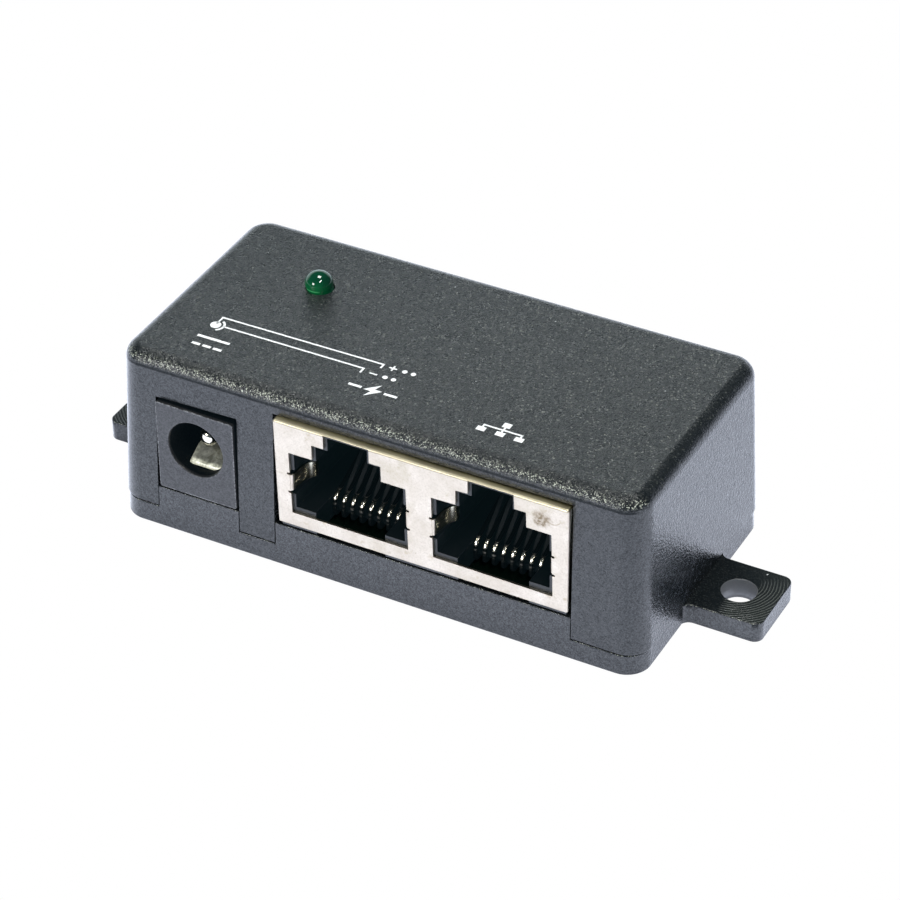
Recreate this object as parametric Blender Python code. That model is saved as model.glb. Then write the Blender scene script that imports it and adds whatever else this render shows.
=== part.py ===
"""Passive power-over-ethernet injector: two-part plastic case with screw ears,
a DC barrel socket, a shielded pair of RJ45 sockets and an LED.

Dimensions are in millimetres and become metres when a mesh is made.
Origin: centre of the underside. +X runs along the case, the sockets face -Y,
+Z is up. A "depth" is measured towards +Y from the plane of the socket faces.
"""
import math

import bmesh
import bpy
from mathutils import Matrix, Vector

# --------------------------------------------------------- shared dimensions
MM = 0.001
OVER = 1.0              # how far most cutters run past a surface

CASE_W = 59.28          # case length along X at the underside
CASE_D = 29.24          # case depth along Y at the underside
CASE_H = 20.31          # case height
DRAFT_X = 0.037         # end walls lean in, mm per mm of height
DRAFT_Y = 0.034         # front and rear walls lean in, mm per mm of height
PLAN_R = 2.6            # outer vertical corner radius
INNER_R = 1.0           # inner vertical corner radius
CORNER_STEPS = 8        # segments in each vertical corner
WALL = 2.0              # cover wall
CEILING_Z = CASE_H - 2.0             # underside of the cover's top wall
FRONT = -CASE_D / 2     # plane of the socket faces

SEAM_Z = 2.30           # parting line between base and cover
COVER_LOW = SEAM_Z + 0.06            # lower edge of the cover

BOSSES = ((25.16, -10.12), (-25.04, 9.98))   # screw positions
BOSS_R = 2.7
SCREW_R = 1.25
SCREW_HEAD_R = 2.5
SCREW_SEAT_Z = 1.30     # top of the screw head

PCB_Z = 3.0             # board underside
PCB_TOP = PCB_Z + 1.6
PIN_Z = 2.3             # lower end of every solder pin

DC_X = -19.85           # DC socket centre
DC_Z = 11.0             # height of its axis
DC_DEEP = 13.2          # moulded body depth
DC_NOTCH = (-24.62, -15.14, 15.92)   # cover notch: x low, x high, top z
DC_TONGUE_TOP = 5.10
DC_STRIP_T = 0.30       # thickness of the terminal strips
DC_PLATE_D = DC_DEEP + 0.15          # depth of the centre pin's terminal
LEAF_PIVOT = (9.15, 8.05)            # depth and height where the sleeve spring flexes
SWITCH_X, SWITCH_D = 3.75, 6.0       # switch contact: offset from DC_X, depth

RJ_X0, RJ_X1 = -10.52, 21.76         # shield width
RJ_Z0, RJ_Z1 = 5.56, 18.04           # shield face bottom and top
RJ_DEEP = 21.0                       # shield depth
RJ_SHEET = 0.30                      # shield sheet thickness
RJ_NOTCH = (-11.00, 21.88, 18.16)    # cover notch: x low, x high, top z
RJ_TONGUE_TOP = 4.92
RJ_FIT = 0.06                        # clearance of the parts inside the shield
PORT_X = (-2.35, 13.485)             # socket centres: PoE, LAN
PORTS = (('poe', PORT_X[0]), ('lan', PORT_X[1]))
BAY_HALF = 3.88                      # contact bay half width
SLIT_Z = (9.65, 11.90)               # slits above and below each spring finger
GROUND_PIN_D = (7.5, 16.5)           # depths of the shield's grounding pins

CONTACTS = 8
PITCH = 1.016
WIRE_W = 0.46           # contact wire width
TAIL_Z = 5.60           # height of the run under the carrier
TAIL_ROWS = (12.7, 15.24)            # depths of the two staggered pin rows

LED_X, LED_Y = -16.27, 4.68
LED_R = 1.48
LED_PITCH = 2.54


# ------------------------------------------------------------------- helpers
def clear_scene():
    for ob in list(bpy.data.objects):
        bpy.data.objects.remove(ob, do_unlink=True)


def material(name, colour, roughness, metallic=0.0, alpha=1.0):
    mat = bpy.data.materials.new(name)
    mat.use_nodes = True
    node = next(n for n in mat.node_tree.nodes if n.type == 'BSDF_PRINCIPLED')
    node.inputs['Base Color'].default_value = (*colour, 1.0)
    node.inputs['Roughness'].default_value = roughness
    node.inputs['Metallic'].default_value = metallic
    node.inputs['Alpha'].default_value = alpha
    return mat


def emit(name, bm, mat, origin=(0.0, 0.0, 0.0), sharp=None, parent=None):
    """Make an object from a millimetre bmesh, with its origin at origin.

    A parent is taken to stand at that origin. Edges over sharp degrees stay
    sharp and the rest is smooth; without sharp the object is flat shaded.
    """
    o = Vector(origin)
    for v in bm.verts:
        v.co = (v.co - o) * MM
    bmesh.ops.recalc_face_normals(bm, faces=bm.faces[:])
    mesh = bpy.data.meshes.new(name)
    bm.to_mesh(mesh)
    bm.free()
    mesh.materials.append(mat)
    ob = bpy.data.objects.new(name, mesh)
    if parent:
        ob.parent = parent
    else:
        ob.location = o * MM
    bpy.context.scene.collection.objects.link(ob)
    if sharp:
        mesh.shade_smooth()
        mesh.set_sharp_from_angle(angle=math.radians(sharp))
    return ob


def hinge_empty(name, origin):
    hinge = bpy.data.objects.new(name, None)
    hinge.location = [c * MM for c in origin]
    bpy.context.scene.collection.objects.link(hinge)
    return hinge


def boolean(ob, name, bm, operation='DIFFERENCE'):
    tool = emit(name, bm, TOOL_MAT)
    tool.hide_render = True
    tool.display_type = 'WIRE'
    modifier = ob.modifiers.new(name, 'BOOLEAN')
    modifier.operation = operation
    modifier.solver = 'EXACT'
    modifier.object = tool
    return modifier


def add_box(bm, x0, x1, y0, y1, z0, z1):
    place = Matrix.Translation(((x0 + x1) / 2, (y0 + y1) / 2, (z0 + z1) / 2))
    scale = Matrix.Diagonal((x1 - x0, y1 - y0, z1 - z0, 1.0))
    bmesh.ops.create_cube(bm, size=1.0, matrix=place @ scale)


def add_block(bm, x0, x1, depth0, depth1, z0, z1):
    """A box placed by its depths behind the socket faces."""
    add_box(bm, x0, x1, FRONT + depth0, FRONT + depth1, z0, z1)


def add_loft(bm, rings):
    """Skin a list of equal rings and close both ends."""
    rows = [[bm.verts.new(p) for p in ring] for ring in rings]
    n = len(rows[0])
    for a, b in zip(rows, rows[1:]):
        for i in range(n):
            j = (i + 1) % n
            bm.faces.new((a[i], a[j], b[j], b[i]))
    bm.faces.new(rows[0][::-1])
    bm.faces.new(rows[-1])


def add_prism_x(bm, outline, x0, x1):
    """Extrude a (depth, z) outline along X."""
    add_loft(bm, [[(x, FRONT + d, z) for d, z in outline] for x in (x0, x1)])


def add_prism_y(bm, outline, y0, y1):
    """Extrude an (x, z) outline along Y."""
    add_loft(bm, [[(x, y, z) for x, z in outline] for y in (y0, y1)])


def add_prism_z(bm, outline, z0, z1):
    """Extrude an (x, y) outline along Z."""
    add_loft(bm, [[(x, y, z) for x, y in outline] for z in (z0, z1)])


def add_turned(bm, profile, centre, segments, axis='Z'):
    """Turn (radius, height) pairs about an axis; end radii may be zero."""
    c = Vector(centre)

    def place(radius, height, angle):
        u, v = radius * math.cos(angle), radius * math.sin(angle)
        return c + Vector((u, v, height) if axis == 'Z' else (u, height, v))

    rings = []
    for radius, height in profile:
        count = 1 if radius < 1e-6 else segments
        rings.append([bm.verts.new(place(radius, height, 2 * math.pi * k / segments))
                      for k in range(count)])
    for a, b in zip(rings, rings[1:]):
        for i in range(segments):
            j = (i + 1) % segments
            if len(a) == 1:
                bm.faces.new((a[0], b[i], b[j]))
            elif len(b) == 1:
                bm.faces.new((a[i], a[j], b[0]))
            else:
                bm.faces.new((a[i], a[j], b[j], b[i]))
    if len(rings[0]) > 1:
        bm.faces.new(rings[0][::-1])
    if len(rings[-1]) > 1:
        bm.faces.new(rings[-1])


def add_cylinder(bm, x, y, radius, z0, z1, segments=24):
    add_turned(bm, ((radius, z0), (radius, z1)), (x, y, 0), segments)


def arc(cx, cy, radius, start, end, steps):
    """Points on an arc between two angles in degrees."""
    angles = [math.radians(start + (end - start) * k / steps) for k in range(steps + 1)]
    return [(cx + radius * math.cos(a), cy + radius * math.sin(a)) for a in angles]


def round_rect(half_x, half_y, radius, z):
    points = []
    for sx, sy, start in ((1, -1, -90), (1, 1, 0), (-1, 1, 90), (-1, -1, 180)):
        corner = arc(sx * (half_x - radius), sy * (half_y - radius), radius,
                     start, start + 90, CORNER_STEPS)
        points += [(x, y, z) for x, y in corner]
    return points


def strip(path, thickness):
    """Outline of a strip that follows an open 2-D path down its middle."""
    normals = []
    for (x0, y0), (x1, y1) in zip(path, path[1:]):
        length = math.hypot(x1 - x0, y1 - y0)
        normals.append((-(y1 - y0) / length, (x1 - x0) / length))
    left, right = [], []
    for i, (x, y) in enumerate(path):
        before = normals[max(i - 1, 0)]
        after = normals[min(i, len(normals) - 1)]
        nx, ny = before[0] + after[0], before[1] + after[1]
        length = math.hypot(nx, ny)
        nx, ny = nx / length, ny / length
        # mitre the joint, but keep tight bends from spiking
        reach = thickness / 2 / max(0.3, nx * before[0] + ny * before[1])
        left.append((x + nx * reach, y + ny * reach))
        right.append((x - nx * reach, y - ny * reach))
    return left + right[::-1]


def wall_x(z):
    """Outer face of the +X end wall at height z."""
    return CASE_W / 2 - DRAFT_X * z


def wall_y(z):
    """Outer face of the rear wall at height z."""
    return CASE_D / 2 - DRAFT_Y * z


# ---------------------------------------------------------------- materials
clear_scene()
TOOL_MAT = material('tool', colour=(0.5, 0.5, 0.5), roughness=0.5)
CASE_MAT = material('case_plastic', colour=(0.052, 0.057, 0.064), roughness=0.62)
BASE_MAT = material('base_plastic', colour=(0.050, 0.055, 0.062), roughness=0.58)
JACK_MAT = material('socket_plastic', colour=(0.016, 0.018, 0.020), roughness=0.42)
DC_MAT = material('dc_plastic', colour=(0.055, 0.058, 0.064), roughness=0.50)
SHIELD_MAT = material('tin_plate', colour=(0.76, 0.72, 0.66), roughness=0.34, metallic=1.0)
GOLD_MAT = material('gold_wire', colour=(0.83, 0.66, 0.36), roughness=0.22, metallic=1.0)
NICKEL_MAT = material('nickel', colour=(0.66, 0.63, 0.57), roughness=0.20, metallic=1.0)
BOARD_MAT = material('board', colour=(0.03, 0.16, 0.07), roughness=0.45)
LED_MAT = material('led_green', colour=(0.01, 0.30, 0.06), roughness=0.08, alpha=0.75)
SCREW_MAT = material('screw_steel', colour=(0.42, 0.41, 0.40), roughness=0.35, metallic=1.0)
CHIP_MAT = material('resistor', colour=(0.05, 0.05, 0.06), roughness=0.40)

# ---------------------------------------------------------------- top cover
TOP_R = 1.55            # radius round the top edge
TOP_STEPS = 6
NOTCH_DEEP = 3.2        # depth the front notches reach
PILOT_TOP = 10.5        # top of the screws' pilot holes


def build_cover():
    bm = bmesh.new()
    rings = []
    for k in range(TOP_STEPS, -1, -1):
        a = math.radians(90.0 * k / TOP_STEPS)
        z = CASE_H - TOP_R + TOP_R * math.sin(a)
        inset = TOP_R * (1 - math.cos(a))
        rings.append(round_rect(wall_x(z) - inset, wall_y(z) - inset, PLAN_R - inset, z))
    rings.append(round_rect(wall_x(COVER_LOW), wall_y(COVER_LOW), PLAN_R, COVER_LOW))
    for z in (COVER_LOW, CEILING_Z):
        rings.append(round_rect(wall_x(z) - WALL, wall_y(z) - WALL, INNER_R, z))
    add_loft(bm, rings)
    cover = emit('top_cover', bm, CASE_MAT, sharp=30)

    bm = bmesh.new()
    for x, y in BOSSES:
        add_cylinder(bm, x, y, BOSS_R, COVER_LOW, CEILING_Z + 0.8)
    boolean(cover, 'cover_boss_add', bm, 'UNION')

    # socket notches, LED hole and pilot holes
    bm = bmesh.new()
    for x0, x1, top in (DC_NOTCH, RJ_NOTCH):
        add_block(bm, x0, x1, -2.0, NOTCH_DEEP, 1.0, top)
    add_cylinder(bm, LED_X, LED_Y, LED_R + 0.12, CEILING_Z - OVER, CASE_H + OVER, segments=32)
    for x, y in BOSSES:
        add_cylinder(bm, x, y, SCREW_R + 0.06, 2.0, PILOT_TOP, segments=16)
    boolean(cover, 'cover_cut', bm)


# --------------------------------------------------------------- base plate
RIM_INSET = 0.18        # the base's ends sit this far inside the cover's
BASE_FLOOR = 1.5        # base floor thickness
ROOT_Z = 1.0            # inside features start here, buried in the floor
EAR_REACH = 7.80        # ear length beyond the case
EAR_W = 8.40            # ear width along Y
EAR_T = 2.27            # ear thickness
EAR_R = 1.0             # ear corner and root radius
EAR_HOLE_X = 33.34      # ear hole centre
EAR_HOLE_R = 1.78
TONGUE_FIT = 0.07       # gap between a tongue and each side of its notch
TONGUE_D = (0.9, 1.8)   # depths of a tongue's root: front, rear
TAB_TOP = 5.0
TAB_T = 1.1             # locating tab thickness
TAB_FIT = 0.12          # gap between a tab and the cover wall
END_TAB_HALF, REAR_TAB_HALF = 5.0, 8.0
PADS = ((-22.0, -10.6), (-14.0, 9.6), (23.4, 8.6), (16.0, 9.6))   # pads under the board
PAD_HALF = (1.3, 0.9)
BASE_BOSS_R = 3.4
HEAD_POCKET_Z = 1.35    # top of the screw head pockets


def ear_outline():
    """(x, y) outline of the +X ear: rounded outer corners, filleted roots."""
    tip, half_width, r = CASE_W / 2 + EAR_REACH, EAR_W / 2, EAR_R
    root = wall_x(EAR_T) - RIM_INSET - 0.02
    half = [(root - 1.0, -half_width - r)]
    half += arc(root + r, -half_width - r, r, 180, 90, 4)
    half += arc(tip - r, -half_width + r, r, -90, 0, 5)
    return half + [(x, -y) for x, y in reversed(half)]


def add_base_inside(bm):
    # tongues that close the cover's front notches below the sockets
    front, rear = TONGUE_D
    for (x0, x1, _), top in ((DC_NOTCH, DC_TONGUE_TOP), (RJ_NOTCH, RJ_TONGUE_TOP)):
        outline = [(DRAFT_Y * SEAM_Z, SEAM_Z), (DRAFT_Y * top, top), (rear, top),
                   (rear, ROOT_Z), (front, ROOT_Z), (front, SEAM_Z)]
        add_prism_x(bm, outline, x0 + TONGUE_FIT, x1 - TONGUE_FIT)
    # locating tabs inside the cover's end and rear walls
    x = wall_x(TAB_TOP) - WALL - TAB_FIT
    for side in (-1, 1):
        add_box(bm, *sorted((side * x, side * (x - TAB_T))),
                -END_TAB_HALF, END_TAB_HALF, ROOT_Z, TAB_TOP)
    y = wall_y(TAB_TOP) - WALL - TAB_FIT
    add_box(bm, -REAR_TAB_HALF, REAR_TAB_HALF, y - TAB_T, y, ROOT_Z, TAB_TOP)
    half_x, half_y = PAD_HALF
    for x, y in PADS:
        add_box(bm, x - half_x, x + half_x, y - half_y, y + half_y, ROOT_Z, PCB_Z - 0.05)
    for x, y in BOSSES:
        add_cylinder(bm, x, y, BASE_BOSS_R, ROOT_Z, SEAM_Z)


def build_base():
    bm = bmesh.new()
    rings = [round_rect(wall_x(z) - RIM_INSET, wall_y(z), PLAN_R, z) for z in (0.0, SEAM_Z)]
    inner = (wall_x(SEAM_Z) - WALL, wall_y(SEAM_Z) - WALL, INNER_R)
    rings += [round_rect(*inner, z) for z in (SEAM_Z, BASE_FLOOR)]
    add_loft(bm, rings)
    base = emit('base_plate', bm, BASE_MAT, sharp=30)

    bm = bmesh.new()
    outline = ear_outline()
    add_prism_z(bm, outline, 0.0, EAR_T)
    add_prism_z(bm, [(-x, y) for x, y in reversed(outline)], 0.0, EAR_T)
    boolean(base, 'base_ears', bm, 'UNION')

    bm = bmesh.new()
    add_base_inside(bm)
    boolean(base, 'base_inside', bm, 'UNION')

    # ear holes, and stepped holes for the screws
    bm = bmesh.new()
    for side in (-1, 1):
        add_cylinder(bm, side * EAR_HOLE_X, 0, EAR_HOLE_R, -OVER, EAR_T + OVER, segments=32)
    head, shank = SCREW_HEAD_R + 0.15, SCREW_R + 0.12
    profile = ((head, -OVER), (head, HEAD_POCKET_Z), (shank, HEAD_POCKET_Z), (shank, 4.0))
    for x, y in BOSSES:
        add_turned(bm, profile, (x, y, 0), 24)
    boolean(base, 'base_cut', bm)


# -------------------------------------------------------------- case screws
SCREW_LOW = 0.12        # underside of the head
SCREW_PROFILE = (       # radius, z
    (SCREW_HEAD_R - 0.25, SCREW_LOW), (SCREW_HEAD_R, 0.40), (SCREW_HEAD_R, SCREW_SEAT_Z),
    (SCREW_R, SCREW_SEAT_Z), (SCREW_R, 8.6), (SCREW_R * 0.3, 9.5))
RECESS_HALF_W = 0.32    # half width of each arm of the cross recess
RECESS_REACH = 1.35     # arm length from the screw's axis
RECESS_TOP = 0.95


def build_screw(name, x, y):
    bm = bmesh.new()
    add_turned(bm, SCREW_PROFILE, (x, y, 0), 20)
    screw = emit(name, bm, SCREW_MAT, origin=(x, y, SCREW_LOW), sharp=30)
    bm = bmesh.new()
    w, r = RECESS_HALF_W, RECESS_REACH
    cross = [(w, w), (r, w), (r, -w), (w, -w), (w, -r), (-w, -r),
             (-w, -w), (-r, -w), (-r, w), (-w, w), (-w, r), (w, r)]
    add_prism_z(bm, [(x + u, y + v) for u, v in cross], -0.5, RECESS_TOP)
    boolean(screw, name + '_recess', bm)


# ------------------------------------------------------------ circuit board
PCB_X = 25.8            # board half length
PCB_Y0, PCB_Y1 = -12.2, 11.0
PCB_BOSS_R = BOSS_R + 0.75           # clearance cut round each boss


def build_board():
    bm = bmesh.new()
    add_box(bm, -PCB_X, PCB_X, PCB_Y0, PCB_Y1, PCB_Z, PCB_TOP)
    board = emit('circuit_board', bm, BOARD_MAT)

    # holes as x, y, half width, half depth
    holes = [(cx + (i - 3.5) * PITCH, FRONT + TAIL_ROWS[i % 2], 0.33, 0.30)
             for cx in PORT_X for i in range(CONTACTS)]
    holes += [(x, FRONT + d, 0.32, 0.75)
              for x in (RJ_X0 + RJ_SHEET / 2, RJ_X1 - RJ_SHEET / 2) for d in GROUND_PIN_D]
    holes += [(DC_X, FRONT + DC_PLATE_D + DC_STRIP_T / 2, 1.35, 0.35),
              (DC_X, FRONT + LEAF_PIVOT[0], 1.35, 0.35),
              (DC_X + SWITCH_X, FRONT + SWITCH_D, 0.35, 0.85)]
    holes += [(LED_X + side * LED_PITCH / 2, LED_Y, 0.35, 0.35) for side in (-1, 1)]

    bm = bmesh.new()
    for x, y in BOSSES:
        add_cylinder(bm, x, y, PCB_BOSS_R, PCB_Z - OVER, PCB_TOP + OVER)
    for x, y, half_x, half_y in holes:
        add_box(bm, x - half_x, x + half_x, y - half_y, y + half_y, PCB_Z - OVER, PCB_TOP + OVER)
    boolean(board, 'board_holes', bm)


# -------------------------------------------------------------- RJ45 shield
# keyhole openings, widest tier first: half width, bottom z, top z
PORT_TIERS = ((6.50, 7.12, 14.48), (3.86, 14.48, 16.24), (2.50, 16.24, 17.72))
CAVITY_TIERS = ((6.10, 7.85, 14.22), (3.58, 14.22, 15.95), (2.20, 15.95, 17.52))
SHIELD_LOW = PCB_TOP + 0.05
SHIELD_BEND = 0.42      # size of the sheet's bent corners
FOOT_DEEP = 2.1         # depth over which the sheet stops above the board
NICKS = ((RJ_X0 + 1.60, RJ_X0 + 1.85), (RJ_X1 - 1.70, RJ_X1 - 1.45))   # x low, x high
SLIT_W = 0.26           # slit height
SLIT_REACH = 0.30       # slit half length about the opening's side
FINGER_T = 0.22
FINGER_PATH = (         # distance in from the opening's side, depth
    (-0.12, 0.14), (0.04, 0.18), (0.15, 0.42), (0.26, 2.10),
    (0.48, 2.70), (0.80, 3.12), (0.92, 3.50), (0.84, 3.95))
FINGER_GAP = SLIT_W / 2 + 0.02       # slit centre line to the finger's edge
GROUND_PIN_HALF = 0.5


def add_keyhole(bm, cx, tiers, depth0, depth1):
    right = [(cx + half, z) for half, z0, z1 in tiers for z in (z0, z1)]
    outline = right + [(2 * cx - x, z) for x, z in reversed(right)]
    add_prism_y(bm, outline, FRONT + depth0, FRONT + depth1)


def is_bend(edge):
    """True for the sheet's front top and upright edges and its long top edges."""
    a, b = (v.co for v in edge.verts)
    front = all(abs(p.y - FRONT) < 1e-4 for p in (a, b))
    top = all(abs(p.z - RJ_Z1) < 1e-4 for p in (a, b))
    upright = abs(a.z - b.z) > 1.0
    along = abs(a.y - b.y) > 1.0
    return (front and (top or upright)) or (top and along)


def build_shield():
    sheet = RJ_SHEET
    bm = bmesh.new()
    add_block(bm, RJ_X0, RJ_X1, 0.0, RJ_DEEP, SHIELD_LOW, RJ_Z1)
    bmesh.ops.bevel(bm, geom=[e for e in bm.edges if is_bend(e)], offset=SHIELD_BEND,
                    segments=3, profile=0.5, affect='EDGES')
    shield = emit('rj45_shield', bm, SHIELD_MAT, sharp=35)

    # hollow, open at the rear and below
    bm = bmesh.new()
    add_block(bm, RJ_X0 + sheet, RJ_X1 - sheet, sheet, RJ_DEEP + 2, SHIELD_LOW - 2, RJ_Z1 - sheet)
    boolean(shield, 'shield_hollow', bm)

    # the front plate stops above the board, with a small nick near each end
    bm = bmesh.new()
    add_block(bm, RJ_X0 - OVER, RJ_X1 + OVER, -OVER, FOOT_DEEP, SHIELD_LOW - OVER, RJ_Z0)
    boolean(shield, 'shield_foot', bm)
    bm = bmesh.new()
    for x0, x1 in NICKS:
        add_block(bm, x0, x1, -OVER, OVER, RJ_Z0 - 0.5, RJ_Z0 + 0.20)
    boolean(shield, 'shield_foot_ends', bm)

    bm = bmesh.new()
    for cx in PORT_X:
        add_keyhole(bm, cx, PORT_TIERS, -OVER, sheet + 0.6)
    boolean(shield, 'shield_openings', bm)

    half = PORT_TIERS[0][0]
    bm = bmesh.new()
    for cx in PORT_X:
        for x in (cx - half, cx + half):
            for z in SLIT_Z:
                add_block(bm, x - SLIT_REACH, x + SLIT_REACH, -OVER, sheet + 0.5,
                          z - SLIT_W / 2, z + SLIT_W / 2)
    boolean(shield, 'shield_slits', bm)

    # spring fingers, bent back into the sockets
    bm = bmesh.new()
    outline = strip(FINGER_PATH, FINGER_T)
    for cx in PORT_X:
        for side in (-1, 1):
            points = [(cx + side * (half - inward), FRONT + d) for inward, d in outline]
            add_prism_z(bm, points[::side], SLIT_Z[0] + FINGER_GAP, SLIT_Z[1] - FINGER_GAP)
    # grounding pins
    for x in (RJ_X0, RJ_X1 - sheet):
        for d in GROUND_PIN_D:
            add_block(bm, x, x + sheet, d - GROUND_PIN_HALF, d + GROUND_PIN_HALF,
                      PIN_Z, SHIELD_LOW + 1.0)
    boolean(shield, 'shield_fingers', bm, 'UNION')


def build_shield_rear():
    inset = RJ_SHEET + RJ_FIT
    bm = bmesh.new()
    add_block(bm, RJ_X0 + inset, RJ_X1 - inset, RJ_DEEP - RJ_SHEET, RJ_DEEP,
              PCB_TOP + 0.1, RJ_Z1 - inset)
    emit('rj45_shield_rear', bm, SHIELD_MAT)


# ------------------------------------------------------------- RJ45 housing
CAVITY_DEEP = 14.6
BAY_DEEP, BAY_TOP = 16.9, 7.86
POCKET_X = (5.6, 6.95)  # finger pocket: near and far side, from the socket centre
POCKET_DEEP = 4.6
POCKET_MARGIN = 0.35    # pocket height beyond the slits


def build_jack_housing():
    inset = RJ_SHEET + RJ_FIT
    bm = bmesh.new()
    add_block(bm, RJ_X0 + inset, RJ_X1 - inset, inset, RJ_DEEP - inset,
              RJ_TONGUE_TOP + 0.1, RJ_Z1 - inset)
    housing = emit('rj45_housing', bm, JACK_MAT)

    bm = bmesh.new()
    for cx in PORT_X:
        add_keyhole(bm, cx, CAVITY_TIERS, -OVER, CAVITY_DEEP)
    boolean(housing, 'housing_cavities', bm)

    # contact bays, open to the board, and the way out of the pin rows
    bm = bmesh.new()
    for cx in PORT_X:
        add_block(bm, cx - BAY_HALF, cx + BAY_HALF, -OVER, BAY_DEEP, PCB_Z, BAY_TOP)
    boolean(housing, 'housing_bays', bm)

    # pockets that the shield's spring fingers flex into
    bm = bmesh.new()
    for cx in PORT_X:
        for side in (-1, 1):
            add_block(bm, *sorted(cx + side * x for x in POCKET_X), -OVER, POCKET_DEEP,
                      SLIT_Z[0] - POCKET_MARGIN, SLIT_Z[1] + POCKET_MARGIN)
    boolean(housing, 'housing_pockets', bm)


# ------------------------------------------------------------ RJ45 contacts
CARRIER_HALF = BAY_HALF - 0.12
CARRIER_LOW = TAIL_Z + 0.35
CARRIER_OUTLINE = (     # depth, z
    (3.85, CARRIER_LOW), (16.7, CARRIER_LOW), (16.7, 7.70), (14.45, 7.70),
    (14.45, 12.6), (11.1, 12.6), (11.1, 6.60), (3.85, 6.60))
TOOTH_OUTLINE = (       # depth, z
    (4.9, 6.45), (11.3, 6.45), (11.3, 12.2), (9.8, 11.75), (4.9, 7.60))
TOOTH_W = PITCH - (WIRE_W + 0.16)

WIRE_T = 0.36           # contact wire thickness
BEND_D = 3.41           # depth of the contact's front upright
BEND_R = 1.20           # radius of the bend above it
PIVOT_Z = 6.74          # height where the sprung part starts
BEAM_DEG = 21.0         # slope of the sprung part
BEAM_END_D = 10.3       # depth of its free end
BEAM_GAP = 0.10         # split between the fixed tail and the sprung part
TAIL_R = 0.3            # bend radius in the fixed tail


def build_carrier(name, cx):
    """Insert for one socket's contacts: a bar below, a wall behind and a comb."""
    bm = bmesh.new()
    add_prism_x(bm, CARRIER_OUTLINE, cx - CARRIER_HALF, cx + CARRIER_HALF)
    carrier = emit(name, bm, JACK_MAT, origin=(cx, FRONT, TAIL_Z))
    # one tooth between each pair of neighbouring contacts
    bm = bmesh.new()
    for i in range(1, CONTACTS):
        x = cx + (i - 4) * PITCH
        add_prism_x(bm, TOOTH_OUTLINE, x - TOOTH_W / 2, x + TOOTH_W / 2)
    boolean(carrier, name + '_comb', bm, 'UNION')


def spring_outline():
    curve = arc(BEND_D + BEND_R, PIVOT_Z + 0.05, BEND_R, 180, 90 + BEAM_DEG, 8)
    d, z = curve[-1]
    end = (BEAM_END_D, z + (BEAM_END_D - d) * math.tan(math.radians(BEAM_DEG)))
    return strip([(BEND_D, PIVOT_Z)] + curve + [end], WIRE_T)


def tail_outline(row):
    """Down from the split, back under the carrier, then down at depth row."""
    r = TAIL_R
    path = [(BEND_D, PIVOT_Z - BEAM_GAP)] + arc(BEND_D + r, TAIL_Z + r, r, 180, 270, 3)
    path += arc(row - r, TAIL_Z - r, r, 90, 0, 3) + [(row, PIN_Z)]
    return strip(path, WIRE_T)


def build_contacts(prefix, cx):
    pivot = (cx, FRONT + BEND_D, PIVOT_Z)
    hinge = hinge_empty(prefix + '_contact_hinge', pivot)
    for i in range(CONTACTS):
        x = cx + (i - 3.5) * PITCH
        x0, x1 = x - WIRE_W / 2, x + WIRE_W / 2
        bm = bmesh.new()
        add_prism_x(bm, spring_outline(), x0, x1)
        emit(f'{prefix}_contact_spring_{i + 1}', bm, GOLD_MAT,
             origin=pivot, sharp=40, parent=hinge)
        bm = bmesh.new()
        add_prism_x(bm, tail_outline(TAIL_ROWS[i % 2]), x0, x1)
        emit(f'{prefix}_contact_tail_{i + 1}', bm, GOLD_MAT,
             origin=(x, FRONT + BEND_D, TAIL_Z), sharp=40)


# ---------------------------------------------------------------- DC socket
DC_FACE = (DC_X, FRONT, DC_Z)        # where the barrel axis meets the face
DC_W = 9.0              # socket width
DC_TOP = 15.49          # socket top
DC_BORE_R = 3.15        # barrel bore radius
DC_BORE_DEEP = 9.5
DC_PIN_R = 1.0          # centre pin radius
DC_PIN_TIP = 1.95       # depth of the pin's tip
DC_DOME_DEEP = 0.75     # length of the pin's domed end
DC_CUTS = (             # name, boxes: x low and high from DC_X, depths, z low and high
    ('dc_leaf_pocket', ((-2.0, 2.0, 1.3, 9.55, 6.1, 9.3),)),
    ('dc_terminal_slots', ((-1.4, 1.4, 8.85, 9.45, 3.5, 7.0),
                           (3.45, 4.05, 5.05, 6.95, 3.5, 6.9))),
    ('dc_switch_pocket', ((1.7, 4.05, 5.05, 6.95, 6.45, 9.75),)),
)
DC_PLATE_HALF = 1.6     # half width of the centre pin's terminal plate
DC_PLATE_LOW = 6.0
DC_TAIL_HALF = 1.1      # half width of the terminals' tails
LEAF_T = 0.30
LEAF_HALF = 1.8
LEAF_PATH = (           # depth, z
    (1.72, 7.86), (1.80, 7.99), (2.05, 8.15), (3.25, 8.86), (3.70, 8.99),
    (4.30, 9.00), (8.45, 8.42), (8.85, 8.33), (9.06, 8.22), LEAF_PIVOT)
LEAF_EAR = (1.60, 2.90, 5.30, 6.70, 8.655, 8.875)    # columns as in DC_CUTS
SWITCH_OUTLINE = (      # x from DC_X, z
    (3.60, PIN_Z), (3.90, PIN_Z), (3.90, 9.27), (2.35, 9.27), (2.35, 9.02), (3.60, 9.02))
SWITCH_HALF = 0.6       # half width along Y


def add_dc_block(bm, x0, x1, *depths_and_heights):
    add_block(bm, DC_X + x0, DC_X + x1, *depths_and_heights)


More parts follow.
